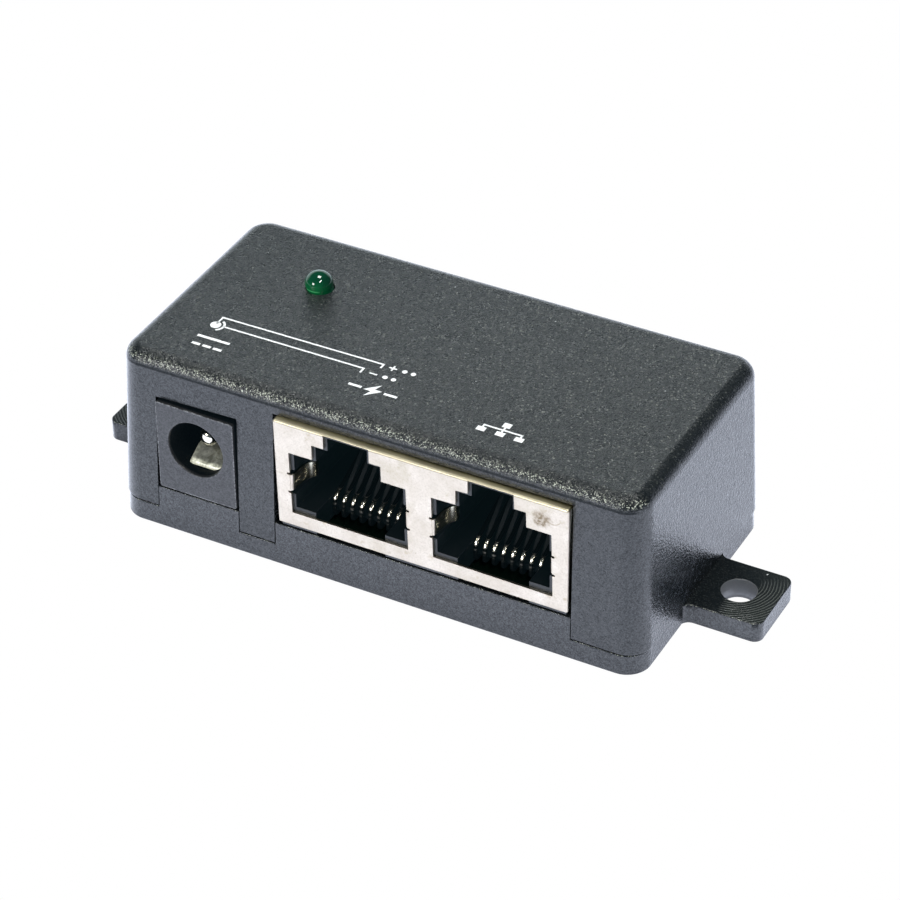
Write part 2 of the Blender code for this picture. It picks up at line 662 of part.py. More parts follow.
def build_dc_housing():
    bm = bmesh.new()
    add_dc_block(bm, -DC_W / 2, DC_W / 2, 0.0, DC_DEEP, DC_TONGUE_TOP + 0.05, DC_TOP)
    housing = emit('dc_jack_housing', bm, DC_MAT, origin=DC_FACE, sharp=30)
    bm = bmesh.new()
    mouth = DC_BORE_R + 0.06
    profile = ((mouth, -OVER), (mouth, 0.0), (DC_BORE_R, 0.07), (DC_BORE_R, DC_BORE_DEEP))
    add_turned(bm, profile, DC_FACE, 48, axis='Y')
    boolean(housing, 'dc_bore', bm)
    for name, boxes in DC_CUTS:
        bm = bmesh.new()
        for box in boxes:
            add_dc_block(bm, *box)
        boolean(housing, name, bm)
    bm = bmesh.new()
    hole = DC_PIN_R + 0.12
    add_turned(bm, ((hole, 8.5), (hole, DC_DEEP + OVER)), DC_FACE, 20, axis='Y')
    boolean(housing, 'dc_pin_hole', bm)


def build_dc_pin():
    """Centre pin with a domed tip, and its terminal behind the body."""
    profile = [(0.0, DC_PIN_TIP)]
    for degrees in (22.5, 45, 67.5, 90):
        a = math.radians(degrees)
        profile.append((DC_PIN_R * math.sin(a), DC_PIN_TIP + DC_DOME_DEEP * (1 - math.cos(a))))
    profile.append((DC_PIN_R, DC_DEEP + 0.25))
    bm = bmesh.new()
    add_turned(bm, profile, DC_FACE, 20, axis='Y')
    pin = emit('dc_center_pin', bm, NICKEL_MAT, origin=DC_FACE, sharp=40)
    bm = bmesh.new()
    near, far = DC_PLATE_D, DC_PLATE_D + DC_STRIP_T
    add_dc_block(bm, -DC_PLATE_HALF, DC_PLATE_HALF, near, far, DC_PLATE_LOW, DC_Z + 1.6)
    # the tail is a hair thinner, so its faces don't coincide with the plate's
    add_dc_block(bm, -DC_TAIL_HALF, DC_TAIL_HALF, near + 0.001, far - 0.001, PIN_Z, DC_PLATE_LOW)
    boolean(pin, 'dc_pin_terminal', bm, 'UNION').use_self = True


def build_dc_sleeve():
    """Sprung sleeve contact: a leaf that rises from the barrel floor."""
    depth, z = LEAF_PIVOT
    pivot = (DC_X, FRONT + depth, z)
    hinge = hinge_empty('dc_leaf_hinge', pivot)
    bm = bmesh.new()
    add_prism_x(bm, strip(LEAF_PATH, LEAF_T), DC_X - LEAF_HALF, DC_X + LEAF_HALF)
    leaf = emit('dc_sleeve_spring', bm, NICKEL_MAT, origin=pivot, sharp=40, parent=hinge)
    bm = bmesh.new()
    add_dc_block(bm, *LEAF_EAR)
    boolean(leaf, 'dc_leaf_ear', bm, 'UNION')

    bm = bmesh.new()
    add_dc_block(bm, -DC_TAIL_HALF, DC_TAIL_HALF, depth - DC_STRIP_T / 2, depth + DC_STRIP_T / 2,
                 PIN_Z, z - 0.1)
    emit('dc_sleeve_terminal', bm, NICKEL_MAT, origin=(DC_X, FRONT + depth, PIN_Z))


def build_dc_switch():
    """Switch contact: the leaf's ear rests under its lip until a plug goes in."""
    y = FRONT + SWITCH_D
    bm = bmesh.new()
    add_prism_y(bm, [(DC_X + x, z) for x, z in SWITCH_OUTLINE], y - SWITCH_HALF, y + SWITCH_HALF)
    emit('dc_switch_contact', bm, NICKEL_MAT, origin=(DC_X + SWITCH_X, y, PIN_Z))


# ---------------------------------------------------------------------- LED
LED_SEAT = 18.05        # top of the LED flange, just under the ceiling
LED_DOME_Z = 20.60      # where the dome starts
FLANGE_R = LED_R + 0.22
FLANGE_T = 0.7
LEAD_HALF = 0.23        # half thickness of a lead
LEAD_INNER = 0.75       # lead offset from the LED's axis at the flange
LEAD_TOP = LED_SEAT - 0.8
JOG_Z = (LED_SEAT - 1.6, LED_SEAT - 2.6)     # top and bottom of the lead's outward jog
CHIP_X, CHIP_Y = -12.1, 8.0
CHIP_L, CHIP_W, CHIP_H = 3.0, 1.6, 0.55


def build_led_lens():
    profile = [(FLANGE_R, LED_SEAT - FLANGE_T), (FLANGE_R, LED_SEAT), (LED_R, LED_SEAT)]
    profile += arc(0.0, LED_DOME_Z, LED_R, 0, 75, 5) + [(0.0, LED_DOME_Z + LED_R)]
    bm = bmesh.new()
    add_turned(bm, profile, (LED_X, LED_Y, 0), 28)
    emit('led_lens', bm, LED_MAT, origin=(LED_X, LED_Y, LED_SEAT), sharp=40)


def build_led_lead(name, side):
    x, inner = LED_X + side * LED_PITCH / 2, LED_X + side * LEAD_INNER
    centres = [(inner, LEAD_TOP), (inner, JOG_Z[0]), (x, JOG_Z[1]), (x, PIN_Z)]
    outline = [(u + LEAD_HALF, z) for u, z in centres]
    outline += [(u - LEAD_HALF, z) for u, z in reversed(centres)]
    bm = bmesh.new()
    add_prism_y(bm, outline, LED_Y - LEAD_HALF, LED_Y + LEAD_HALF)
    emit(name, bm, NICKEL_MAT, origin=(x, LED_Y, PIN_Z))


def build_resistor():
    z = PCB_TOP + 0.05
    bm = bmesh.new()
    add_box(bm, CHIP_X - CHIP_L / 2, CHIP_X + CHIP_L / 2,
            CHIP_Y - CHIP_W / 2, CHIP_Y + CHIP_W / 2, z, z + CHIP_H)
    emit('led_resistor', bm, CHIP_MAT, origin=(CHIP_X, CHIP_Y, z))


build_cover()
build_base()
build_screw('case_screw_front_right', *BOSSES[0])
build_screw('case_screw_rear_left', *BOSSES[1])
build_board()
build_shield()
build_shield_rear()
build_jack_housing()
for port, port_x in PORTS:
    build_carrier(port + '_contact_carrier', port_x)
    build_contacts(port, port_x)
build_dc_housing()
build_dc_pin()
build_dc_sleeve()
build_dc_switch()
build_led_lens()
build_led_lead('led_anode_lead', -1)
build_led_lead('led_cathode_lead', 1)
build_resistor()
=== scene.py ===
# A small black wall-mount adapter: a DC socket and two RJ45 sockets in its front wall, a green
# LED and printed symbols on top, and a screw ear at each end. It lies flat with its underside
# at z = 0, its front facing -Y and its ears at -X (left) and +X (right).
# Shapes are built in millimetres and scaled to metres as they are made.
import math
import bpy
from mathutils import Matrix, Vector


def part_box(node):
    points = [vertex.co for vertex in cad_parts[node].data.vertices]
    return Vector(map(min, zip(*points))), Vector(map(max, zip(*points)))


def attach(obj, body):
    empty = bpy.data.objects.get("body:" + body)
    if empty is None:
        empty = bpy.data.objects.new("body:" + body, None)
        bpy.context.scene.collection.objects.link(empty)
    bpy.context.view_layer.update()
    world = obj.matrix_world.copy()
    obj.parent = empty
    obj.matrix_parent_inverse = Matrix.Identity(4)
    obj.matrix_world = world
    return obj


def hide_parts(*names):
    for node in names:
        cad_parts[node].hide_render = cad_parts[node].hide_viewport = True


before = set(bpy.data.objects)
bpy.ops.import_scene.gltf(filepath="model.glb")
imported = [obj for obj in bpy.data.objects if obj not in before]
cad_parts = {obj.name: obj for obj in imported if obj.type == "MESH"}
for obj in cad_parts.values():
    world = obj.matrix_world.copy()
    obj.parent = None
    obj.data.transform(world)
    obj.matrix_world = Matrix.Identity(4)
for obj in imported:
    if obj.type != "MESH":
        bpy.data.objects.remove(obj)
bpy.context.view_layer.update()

from types import SimpleNamespace

import bmesh
import bpy
from mathutils import Matrix, Vector

MM = 0.001


# ------------------------------------------------------------------ measures
def mm(*lengths):
    """Lengths in millimetres, as metres."""
    return tuple(length * MM for length in lengths)


def box_mm(node):
    lo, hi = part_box(node)
    return lo * 1000.0, hi * 1000.0


def centre_mm(node):
    """Plan centre of a node, as a point at z = 0."""
    lo, hi = box_mm(node)
    return ((lo.x + hi.x) / 2, (lo.y + hi.y) / 2, 0)


COVER_LO, COVER_HI = box_mm("top_cover")
DC_LO, DC_HI = box_mm("dc_jack_housing")
SHIELD_LO, SHIELD_HI = box_mm("rj45_shield")
BODY_LO, BODY_HI = box_mm("rj45_housing")
LED_LO, LED_HI = box_mm("led_lens")
PIN_LO, PIN_HI = box_mm("dc_center_pin")
LEAF_HI = box_mm("dc_sleeve_spring")[1]
BOARD_FOOT = box_mm("circuit_board")[0].z
SCREW_CENTRES = (centre_mm("case_screw_front_right"), centre_mm("case_screw_rear_left"))

# case
FRONT = DC_LO.y                       # y of the socket faces
DRAFT_X, DRAFT_Y = 0.037, 0.034       # lean of the walls, per unit of height
COVER_FOOT = COVER_LO.z
COVER_TOP = COVER_HI.z
HALF_X0 = COVER_HI.x + DRAFT_X * COVER_FOOT    # half length at the underside
HALF_Y0 = -FRONT
PLAN_R, TOP_R = 2.6, 1.55             # corner radius in plan, radius of the top edge
INNER_R = PLAN_R - 1.6
CORNER_STEPS = 16
WALL = 2.0
ROOF = COVER_TOP - WALL               # underside of the cover's roof
SEAM = COVER_FOOT - 0.06              # top of the base's wall
BASE_FLOOR = 1.5
RIM_INSET = 0.18                      # step of the base behind the cover, at each end

# ears
EAR_T = 2.27
EAR_TIP = box_mm("base_plate")[1].x
EAR_HALF = 4.2                        # half width
EAR_R = 1.0                           # tip corners and root fillets
EAR_HOLE_X, EAR_HOLE_R = 33.34, 1.78

# DC socket
PIN_HEAD_HALF = 1.6                   # half width of the plate behind the centre pin
DC_X = (DC_LO.x + DC_HI.x) / 2
DC_Z = PIN_HI.z - PIN_HEAD_HALF
DC_TONGUE = DC_LO.z - 0.31            # top of the base tongue below the socket

# RJ45 pair
RJ_X0, RJ_X1 = SHIELD_LO.x, SHIELD_HI.x
RJ_Z0, RJ_Z1 = 5.56, SHIELD_HI.z + 0.02        # foot and top of the pressed face
RJ_SHEET = 0.30
RJ_REAR = FRONT + (SHIELD_HI.y - SHIELD_LO.y)
RJ_LEAN = 0.02                        # forward lean, per unit of height above RJ_Z0
RJ_TONGUE = BODY_LO.z - 0.10
SHIELD_FOOT = SHIELD_LO.z + 2.35      # lower edge of the shield's side walls
SLIT_Z, SLIT_W = (9.65, 11.90), 0.26  # saw slits above and below each finger
PORT_X = tuple(centre_mm(node)[0] for node in ("poe_contact_carrier", "lan_contact_carrier"))
PITCH = 1.016                         # spacing of the contact wires

# LED
LED_X, LED_Y = (LED_LO.x + LED_HI.x) / 2, (LED_LO.y + LED_HI.y) / 2
LED_TOP = LED_HI.z
LED_FLANGE = 0.22                     # how far the flange stands out beyond the dome

# Notches in the cover's front wall, as (x, z): low left, top left, top right, low right.
DC_NOTCH = ((-24.78, 1.0), (-24.50, 15.78), (-15.14, 16.06), (-15.13, 1.0))
RJ_NOTCH = ((-11.09, 1.0), (-10.95, 18.05), (21.84, 18.18), (22.03, 1.0))

# Outline of each opening in the shield, as (x, z): from the lower right corner up,
# over the stepped top and down to the lower left corner.
PORT_CUTS = (
    ((4.29, 7.10), (4.20, 14.53), (1.51, 14.53), (1.50, 16.34), (0.225, 16.34), (0.225, 17.93),
     (-4.84, 17.93), (-4.84, 16.30), (-6.20, 16.30), (-6.20, 14.53), (-8.87, 14.50),
     (-8.77, 7.13)),
    ((20.06, 7.02), (19.95, 14.53), (17.28, 14.53), (17.26, 16.30), (16.00, 16.30),
     (15.95, 17.93), (11.02, 17.93), (11.00, 16.38), (9.68, 16.30), (9.66, 14.56),
     (6.98, 14.50), (7.05, 7.17)),
)
# Tiers of the cavity behind each opening: half width, lower z, upper z.
CAVITY_TIERS = ((6.10, 7.72, 14.22), (3.58, 14.22, 15.95), (2.20, 15.95, 17.50))


def half_x(z):
    return HALF_X0 - DRAFT_X * z


def half_y(z):
    return HALF_Y0 - DRAFT_Y * z


# ------------------------------------------------------------- shader helpers
class Signal:
    """A shader output that takes arithmetic; each operation adds a node."""

    def __init__(self, net, socket):
        self.net = net
        self.socket = socket

    def __add__(self, other):
        return self.net.math("ADD", self, other)

    def __radd__(self, other):
        return self.net.math("ADD", other, self)

    def __sub__(self, other):
        return self.net.math("SUBTRACT", self, other)

    def __rsub__(self, other):
        return self.net.math("SUBTRACT", other, self)

    def __mul__(self, other):
        return self.net.math("MULTIPLY", self, other)

    def __truediv__(self, other):
        return self.net.math("DIVIDE", self, other)

    def __pow__(self, other):
        return self.net.math("POWER", self, other)

    def __abs__(self):
        return self.net.math("ABSOLUTE", self)

    def ramp(self, over=(0.0, 1.0), to=(0.0, 1.0), **settings):
        """Map the range `over` onto `to`, held at both ends."""
        sockets = {"Value": self, "From Min": over[0], "From Max": over[1],
                   "To Min": to[0], "To Max": to[1]}
        return self.net.add("MapRange", sockets, **settings)

    def ease(self, over, to=(0.0, 1.0)):
        """A ramp with soft ends."""
        return self.ramp(over, to, interpolation_type="SMOOTHSTEP")

    def band(self, rise, fall):
        """1 between the ranges `rise` and `fall`, fading to 0 outside them."""
        return self.ease(rise) * self.ease(fall, to=(1.0, 0.0))


class Net:
    """Adds nodes to a shader tree."""

    def __init__(self, tree):
        self.tree = tree

    def put(self, socket, value):
        if isinstance(value, Signal):
            self.tree.links.new(value.socket, socket)
        elif socket.type == "RGBA":
            socket.default_value = (*value, 1.0)
        else:
            socket.default_value = value

    def node(self, kind, sockets=None, **settings):
        node = self.tree.nodes.new("ShaderNode" + kind)
        for key, value in settings.items():
            setattr(node, key, value)
        for key, value in (sockets or {}).items():
            self.put(node.inputs[key], value)
        return node

    def add(self, kind, sockets=None, output=0, **settings):
        """Add a node and return one of its outputs."""
        return Signal(self, self.node(kind, sockets, **settings).outputs[output])

    def split(self, kind, sockets):
        """Add a node and return all its outputs."""
        return [Signal(self, socket) for socket in self.node(kind, sockets).outputs]

    def math(self, operation, *inputs):
        return self.add("Math", dict(enumerate(inputs)), operation=operation)

    def mix(self, start, end, by):
        # 6, 7 and output 2 are the colour sockets of the Mix node
        return self.add("Mix", {0: by, 6: start, 7: end}, output=2, data_type="RGBA")


def blank_material(name):
    material = bpy.data.materials.new(name)
    material.use_nodes = True
    material.node_tree.nodes.clear()
    return material


class Surface(Net):
    """A new Principled material, with patterns in object space (scales are per metre)."""

    PORTS = {"colour": "Base Color", "rough": "Roughness", "metallic": "Metallic",
             "specular": "Specular IOR Level", "ior": "IOR", "normal": "Normal",
             "glow": "Emission Color", "glow_strength": "Emission Strength"}

    def __init__(self, name):
        self.material = blank_material(name)
        super().__init__(self.material.node_tree)
        self.shader = self.node("BsdfPrincipled")
        self.node("OutputMaterial", {"Surface": Signal(self, self.shader.outputs[0])})
        self.point = self.add("TexCoord", output="Object")

    def finish(self, **values):
        """Set the shader's inputs and return the material."""
        for key, value in values.items():
            self.put(self.shader.inputs[self.PORTS[key]], value)
        return self.material

    def position(self):
        return self.split("SeparateXYZ", {0: self.point})

    def normal(self, axis):
        direction = self.add("NewGeometry", output="Normal")
        return self.add("SeparateXYZ", {0: direction}, output=axis)

    def noise(self, scale, detail=2.0, rough=0.5, at=None, distortion=0.0):
        return self.add("TexNoise", {"Vector": at or self.point, "Scale": scale,
                                     "Detail": detail, "Roughness": rough,
                                     "Distortion": distortion})

    def voronoi(self, scale, output="Distance"):
        return self.add("TexVoronoi", {"Vector": self.point, "Scale": scale}, output)

    def cells(self, scale):
        """Random values that are constant across each grain."""
        return self.split("SeparateColor", {0: self.voronoi(scale, output="Color")})

    def specks(self, scale, radius):
        """Scattered round dots; `radius` is where their edge begins and ends."""
        return self.voronoi(scale).ramp(over=radius, to=(1.0, 0.0))

    def distance(self, first, second):
        return self.math("SQRT", first * first + second * second)

    def bump(self, height, strength, distance):
        return self.add("Bump", {"Height": height, "Strength": strength, "Distance": distance})

    def edge(self, radius, samples=4):
        """1 near a sharp or tight edge, 0 on flats, from a rounded normal."""
        rounded = self.node("Bevel", {"Radius": radius}, samples=samples).outputs[0]
        flat = self.add("NewGeometry", output="Normal")
        agreement = self.add("VectorMath", {0: Signal(self, rounded), 1: flat},
                             output="Value", operation="DOT_PRODUCT")
        return agreement.ramp(over=(0.98, 0.80))


def grey(value):
    return (value,) * 3


NOISE_SPAN = (0.3, 0.7)               # the range most noise values fall in
# Faint light left in the recesses.
RECESS_GLOW = (0.0022, 0.0052, 0.0064)
GLOW_STRENGTH = 0.8


# --------------------------------------------------------------- case plastic
def skin_zones(net):
    """Weights for the parts of the case skin, and the grain they share."""
    zone = SimpleNamespace()
    zone.x, zone.y, zone.z = net.position()
    zone.tilt = net.normal("Z")
    zone.up = zone.tilt.ease(over=(0.10, 0.60))
    # grows toward the right front corner
    zone.near = (zone.x - zone.y * 0.8).ramp(over=(-0.030, 0.022), to=(0.55, 1.15))
    zone.ahead = net.normal("Y").ease(over=(-0.10, -0.40))
    sideways = abs(net.normal("X"))
    zone.flank = sideways.ease(over=(0.01, 0.22))
    zone.lateral = sideways.ease(over=(0.90, 0.99))
    # the rounded upper front edge
    zone.rim = zone.tilt.band(rise=(0.26, 0.56), fall=(0.66, 0.93)) * zone.ahead
    zone.swell = net.noise(scale=1300)
    zone.cell = net.cells(scale=6900)
    zone.fine = net.cells(scale=10500)
    return zone


def skin_colour(net, zone, ears):
    """Near-black, with painted glints on its grains, most of them on the front edge."""
    cloud = net.noise(scale=60, detail=3.0, rough=0.55)
    colour = net.mix((0.0050, 0.0070, 0.0084), (0.0072, 0.0095, 0.0110), by=cloud)
    # many faint painted glints on grains
    faint = zone.cell[0].ramp(over=(0.55, 1.0)) * (zone.up.ramp(to=(0.35, 1.0)) * zone.near)
    if ears:
        faint *= 0.4
    faint *= zone.flank.ramp(to=(1.0, 0.25)) * zone.rim.ramp(to=(1.0, 0.3))
    colour = net.mix(colour, (0.028, 0.031, 0.030), by=faint)
    # a few bright painted glints, none on the base
    spark_zone = (zone.up * zone.near) * zone.flank.ramp(to=(1.0, 0.3))
    spark = zone.cell[1].ramp(over=(0.940, 0.985)) * spark_zone
    if ears:
        spark *= 0.0
    colour = net.mix(colour, (0.150, 0.156, 0.140), by=spark * 0.85)
    # the brightest painted glints, along the front edge
    glint = zone.fine[2].ramp(over=(0.70, 1.0)) * zone.rim
    colour = net.mix(colour, (0.50, 0.52, 0.43), by=glint ** 1.3 * 1.0)
    # coarse flakes on the end walls, fewer toward the rear
    flake = net.cells(scale=3900)[1] ** 4.0 * zone.lateral
    flake *= zone.y.ramp(over=mm(-2.0, 13.0), to=(1.0, 0.55))
    colour = net.mix(colour, (0.042, 0.045, 0.050), by=flake)
    # rubbed edges
    rub = net.edge(radius=0.00020)
    rub *= net.noise(scale=1500, detail=3.0, rough=0.6).ramp(over=(0.40, 0.65))
    rub_strength = 0.03 if ears else 0.15
    return net.mix(colour, (0.10, 0.105, 0.11), by=rub * rub_strength)


def skin_shine(net, zone, ears):
    """Specular level: it varies from grain to grain."""
    shine = zone.cell[2] + zone.fine[0] - 1.0
    shine = shine * zone.up.ramp(to=(0.27, 0.42)) + 0.47
    shine *= (zone.flank * zone.up).ramp(to=(1.0, 0.55))
    shine *= zone.lateral.ramp(to=(1.0, 0.62))
    away = (zone.near * zone.up).ramp(over=(0.5, 1.15), to=(1.42, 0.74))
    shine *= net.mix(grey(1.13), away, by=zone.up)
    # a dull line runs under the front edge
    dull = zone.tilt.band(rise=(0.05, 0.12), fall=(0.20, 0.32))
    dull *= net.normal("Y").ease(over=(-0.6, -0.8))
    shine *= dull.ramp(to=(1.0, 0.30))
    if ears:
        shine *= zone.ahead.ramp(to=(1.0, 1.22))
        shine *= zone.x.ramp(over=mm(-33.0, -31.5), to=(0.72, 1.0))
    return shine


def ear_marks(net, zone):
    """Weights for the ears' top face, a painted reflection toward the tip, ripples with painted
    sheen, specks and a screw hole with painted light.
    """
    ripple_offset = 1.1               # ripple centre, inward and rearward of the hole
    ripple_pitch = 0.00033
    outward = abs(zone.x)
    across = outward - (EAR_HOLE_X - ripple_offset) * MM
    along = zone.y - ripple_offset * MM
    radius = net.distance(across, along)
    wobble = (net.noise(scale=420) - 0.5) * 0.00030
    wave = net.math("SINE", (radius + wobble) * (2 * math.pi / ripple_pitch))
    outer = radius.ease(over=mm(2.5, 3.1))
    frontal = (along / radius).ease(over=(0.65, 0.0))
    beyond = (across / radius).ease(over=(0.05, 0.35))
    top_face = zone.tilt.ramp(over=(0.80, 0.95))
    amount = (outer * frontal) * (beyond * top_face)
    amount *= zone.x.ramp(over=mm(-5.0, 5.0), to=(0.35, 1.0))
    ear = outward.ramp(over=mm(HALF_X0 - 0.4, HALF_X0 + 0.2)) * top_face
    hole = net.distance(outward - EAR_HOLE_X * MM, zone.y)
    hole = hole.ramp(over=mm(EAR_HOLE_R + 0.03, EAR_HOLE_R + 0.08), to=(1.0, 0.0))
    return SimpleNamespace(
        ear=ear,
        ridge=wave.ease(over=(-0.1, 0.9)) * amount,
        outer_reflection=radius.ramp(over=mm(2.3, 5.5)) * (ear * beyond),
        specks=ear * net.specks(scale=620, radius=(0.040, 0.060)),
        bore=hole * zone.z.ramp(over=mm(0.2, 0.5), to=(0.4, 1.0)))


def case_material(name, ears=False):
    """Black ABS with a spark-eroded skin: coarse grain on top, finer on the walls. With
    `ears`, the ears are smooth and carry moulding ripples."""
    net = Surface(name)
    zone = skin_zones(net)
    colour = skin_colour(net, zone, ears)

    # height of the grain, and how deep it is in each zone (metres)
    grain = net.noise(scale=6900, rough=0.60)
    pits = net.add("TexVoronoi", {"Vector": net.point, "Scale": 5600, "Smoothness": 0.2},
                   feature="SMOOTH_F1")
    height = grain * 1.0 + pits * 0.55 + zone.swell * 0.40
    depth = (zone.up.ramp(to=(0.26, 1.0)) * zone.near) * 0.000072
    depth *= zone.lateral.ramp(to=(1.0, 1.5))
    depth *= (zone.flank * zone.up).ramp(to=(1.0, 0.55))

    # rougher on top, smoother on the flanks and the front edge
    rough = zone.swell.ramp(over=NOISE_SPAN, to=(0.20, 0.25)) + zone.up * 0.06
    rough -= net.math("MAXIMUM", zone.flank, zone.rim) * 0.07

    if ears:
        mark = ear_marks(net, zone)
        # painted reflection of the backdrop, toward the ear's tip
        colour = net.mix(colour, (0.020, 0.024, 0.023), by=mark.outer_reflection * 0.6)
        # painted sheen on the ripple crests, which are also raised in the bump below
        colour = net.mix(colour, (0.085, 0.092, 0.085), by=mark.ridge * 0.80)
        colour = net.mix(colour, (0.55, 0.57, 0.58), by=mark.specks)
        # painted light on the screw hole's wall, brighter toward its top
        colour = net.mix(colour, (0.125, 0.13, 0.14), by=mark.bore)
        depth *= mark.ear.ramp(to=(0.9, 0.07))
        rough += mark.ear * -0.08
        relief = height * depth + mark.ridge * 0.000055
    else:
        relief = height * depth
    # the end walls carry a coarser orange peel
    relief += net.noise(scale=3250, detail=1.0) * (zone.lateral * 0.000050)
    dust = zone.up * net.specks(scale=310, radius=(0.020, 0.030))
    colour = net.mix(colour, (0.45, 0.47, 0.48), by=dust * 0.8)
    return net.finish(colour=colour, rough=rough, specular=skin_shine(net, zone, ears),
                      ior=1.50, normal=net.bump(relief, strength=1.0, distance=1.0))


# ------------------------------------------------------------ other materials
def socket_material():
    """Glossy black plastic of the RJ45 body, with painted light on its front lip and painted
    highlights on its edges.
    """
    net = Surface("socket_black")
    x, y, z = net.position()
    gloss = net.noise(scale=1400, detail=3.0)
    edge = net.edge(radius=0.00012)
    lip = z.ramp(over=mm(6.25, 5.95)) * y.ramp(over=mm(FRONT + 0.95, FRONT + 0.65))
    patchy = net.noise(scale=700, detail=3.0, rough=0.6).ramp(over=(0.35, 0.65), to=(0.5, 1.0))
    colour = net.mix((0.0014, 0.0018, 0.0024), (0.0026, 0.0032, 0.0040),
                     by=net.noise(scale=160))
    # painted highlights on the edges away from the lip
    colour = net.mix(colour, (0.050, 0.052, 0.062), by=edge * lip.ramp(to=(0.25, 0.0)))
    # painted light on the lip, in patches
    colour = net.mix(colour, (0.034, 0.035, 0.040), by=lip * patchy)
    # painted highlight along the lip's edge
    colour = net.mix(colour, (0.34, 0.35, 0.36), by=(lip * edge) * 0.9)
    return net.finish(colour=colour, rough=gloss.ramp(over=NOISE_SPAN, to=(0.30, 0.42)),
                      normal=net.bump(gloss, strength=0.25, distance=0.00002),
                      glow=RECESS_GLOW, glow_strength=GLOW_STRENGTH)


def carrier_material():
    """Dull black plastic of the contact carriers, darkened further as painted shade."""
    net = Surface("carrier_black")
    grain = net.noise(scale=2100, detail=3.0)
    return net.finish(
        colour=net.mix((0.0012, 0.0018, 0.0024), (0.0022, 0.0030, 0.0036), by=grain),
        rough=grain.ramp(over=NOISE_SPAN, to=(0.50, 0.62)), specular=0.22,
        normal=net.bump(grain, strength=0.3, distance=0.00002),
        glow=RECESS_GLOW, glow_strength=GLOW_STRENGTH)


def wire_material():
    """Contact wire: gold painted bright as highlights in two bands of height, painted dark as
    shade elsewhere.
    """
    net = Surface("contact_gold")
    x, _, z = net.position()
    grain = net.noise(scale=1500, detail=3.0, rough=0.6)
    height = z + x.ramp(over=mm(4.0, 5.0), to=mm(0.0, 0.16))
    # painted highlights: a band at the bend, and a patchy fainter one below it
    upper = height.band(rise=mm(7.36, 7.60), fall=mm(8.04, 8.18))
    lower = height.band(rise=mm(6.84, 6.96), fall=mm(7.04, 7.18))
    lower *= net.noise(scale=900).ramp(over=(0.35, 0.65), to=(0.02, 0.28))
    bright = net.math("MAXIMUM", upper, lower)
    # painted shade: near black outside the bands, with a faint painted glow
    shaded_colour = net.mix((0.005, 0.005, 0.005), (0.013, 0.013, 0.011), by=grain)
    gold_colour = net.mix((0.84, 0.78, 0.64), (0.95, 0.90, 0.78), by=grain)
    gold_rough = grain.ramp(over=NOISE_SPAN, to=(0.14, 0.22))
    return net.finish(colour=net.mix(shaded_colour, gold_colour, by=bright), metallic=1.0,
                      rough=net.mix(grey(0.42), gold_rough, by=bright),
                      normal=net.bump(grain, strength=0.2, distance=0.00001),
                      glow=net.mix((0.0018, 0.0040, 0.0050), grey(0.0), by=bright),
                      glow_strength=GLOW_STRENGTH)


def leaf_material():
    """Mottled nickel silver of the DC contact spring, with painted glow at its front and left.
    """
    net = Surface("leaf_nickel_silver")
    x, y, _ = net.position()
    grain = net.noise(scale=3600, detail=3.0, rough=0.65)
    cloud = net.noise(scale=900, detail=3.0, rough=0.6)
    blot = (grain * 0.35 + cloud * 0.65).ramp(over=(0.36, 0.64))
    # where the painted glow is strongest: the front edge and the left side
    front = y.ramp(over=mm(FRONT + 2.15, FRONT + 1.85))
    left = x.ramp(over=mm(DC_X - 1.1, DC_X - 1.75))
    return net.finish(
        colour=net.mix((0.24, 0.245, 0.20), (0.60, 0.60, 0.52), by=blot), metallic=0.75,
        rough=cloud.ramp(over=NOISE_SPAN, to=(0.36, 0.52)),
        normal=net.bump(grain, strength=0.8, distance=0.00004),
        glow=net.mix((0.050, 0.052, 0.038), (0.250, 0.250, 0.200), by=blot),
        glow_strength=0.06 + (front ** 1.5 * 2.3 + left * 0.85))


def dc_material():
    """Satin black plastic of the DC socket: rubbed, burred edges, and painted shade with a faint
    painted glow inside.
    """
    net = Surface("dc_socket_black")
    y = net.position()[1]
    fine = net.noise(scale=4800, detail=3.0, rough=0.6)
    blotch = net.noise(scale=260, detail=3.0, rough=0.6)
    edge = net.edge(radius=0.00030, samples=6)
    worn = edge * net.noise(scale=2600, detail=3.0, rough=0.65).ramp(over=(0.44, 0.60))
    inside = y.ramp(over=mm(FRONT + 0.10, FRONT + 0.45))
    colour = net.mix((0.0100, 0.0110, 0.0125), (0.0150, 0.0160, 0.0180), by=blotch)
    colour = net.mix(colour, (0.34, 0.35, 0.35), by=worn * 0.85)
    # painted shade inside the bore
    colour = net.mix(colour, (0.0015, 0.0020, 0.0025), by=inside)
    grain = fine * 0.6 + net.noise(scale=1500) * 0.6
    chips = (edge * net.noise(scale=2200, rough=0.6)) * 2.5
    grit = net.cells(scale=7200)[0].ramp(to=(0.38, 0.74))
    outer_rough = fine.ramp(over=NOISE_SPAN, to=(0.36, 0.46))
    # the glow inside the bore is painted light
    return net.finish(colour=colour, rough=net.mix(outer_rough, grey(0.62), by=inside),
                      normal=net.bump(grain + chips, strength=0.8, distance=0.00003),
                      specular=grit * inside.ramp(to=(1.0, 0.12)),
                      glow=net.mix(grey(0.0), (0.0016, 0.0036, 0.0050), by=inside),
                      glow_strength=GLOW_STRENGTH)


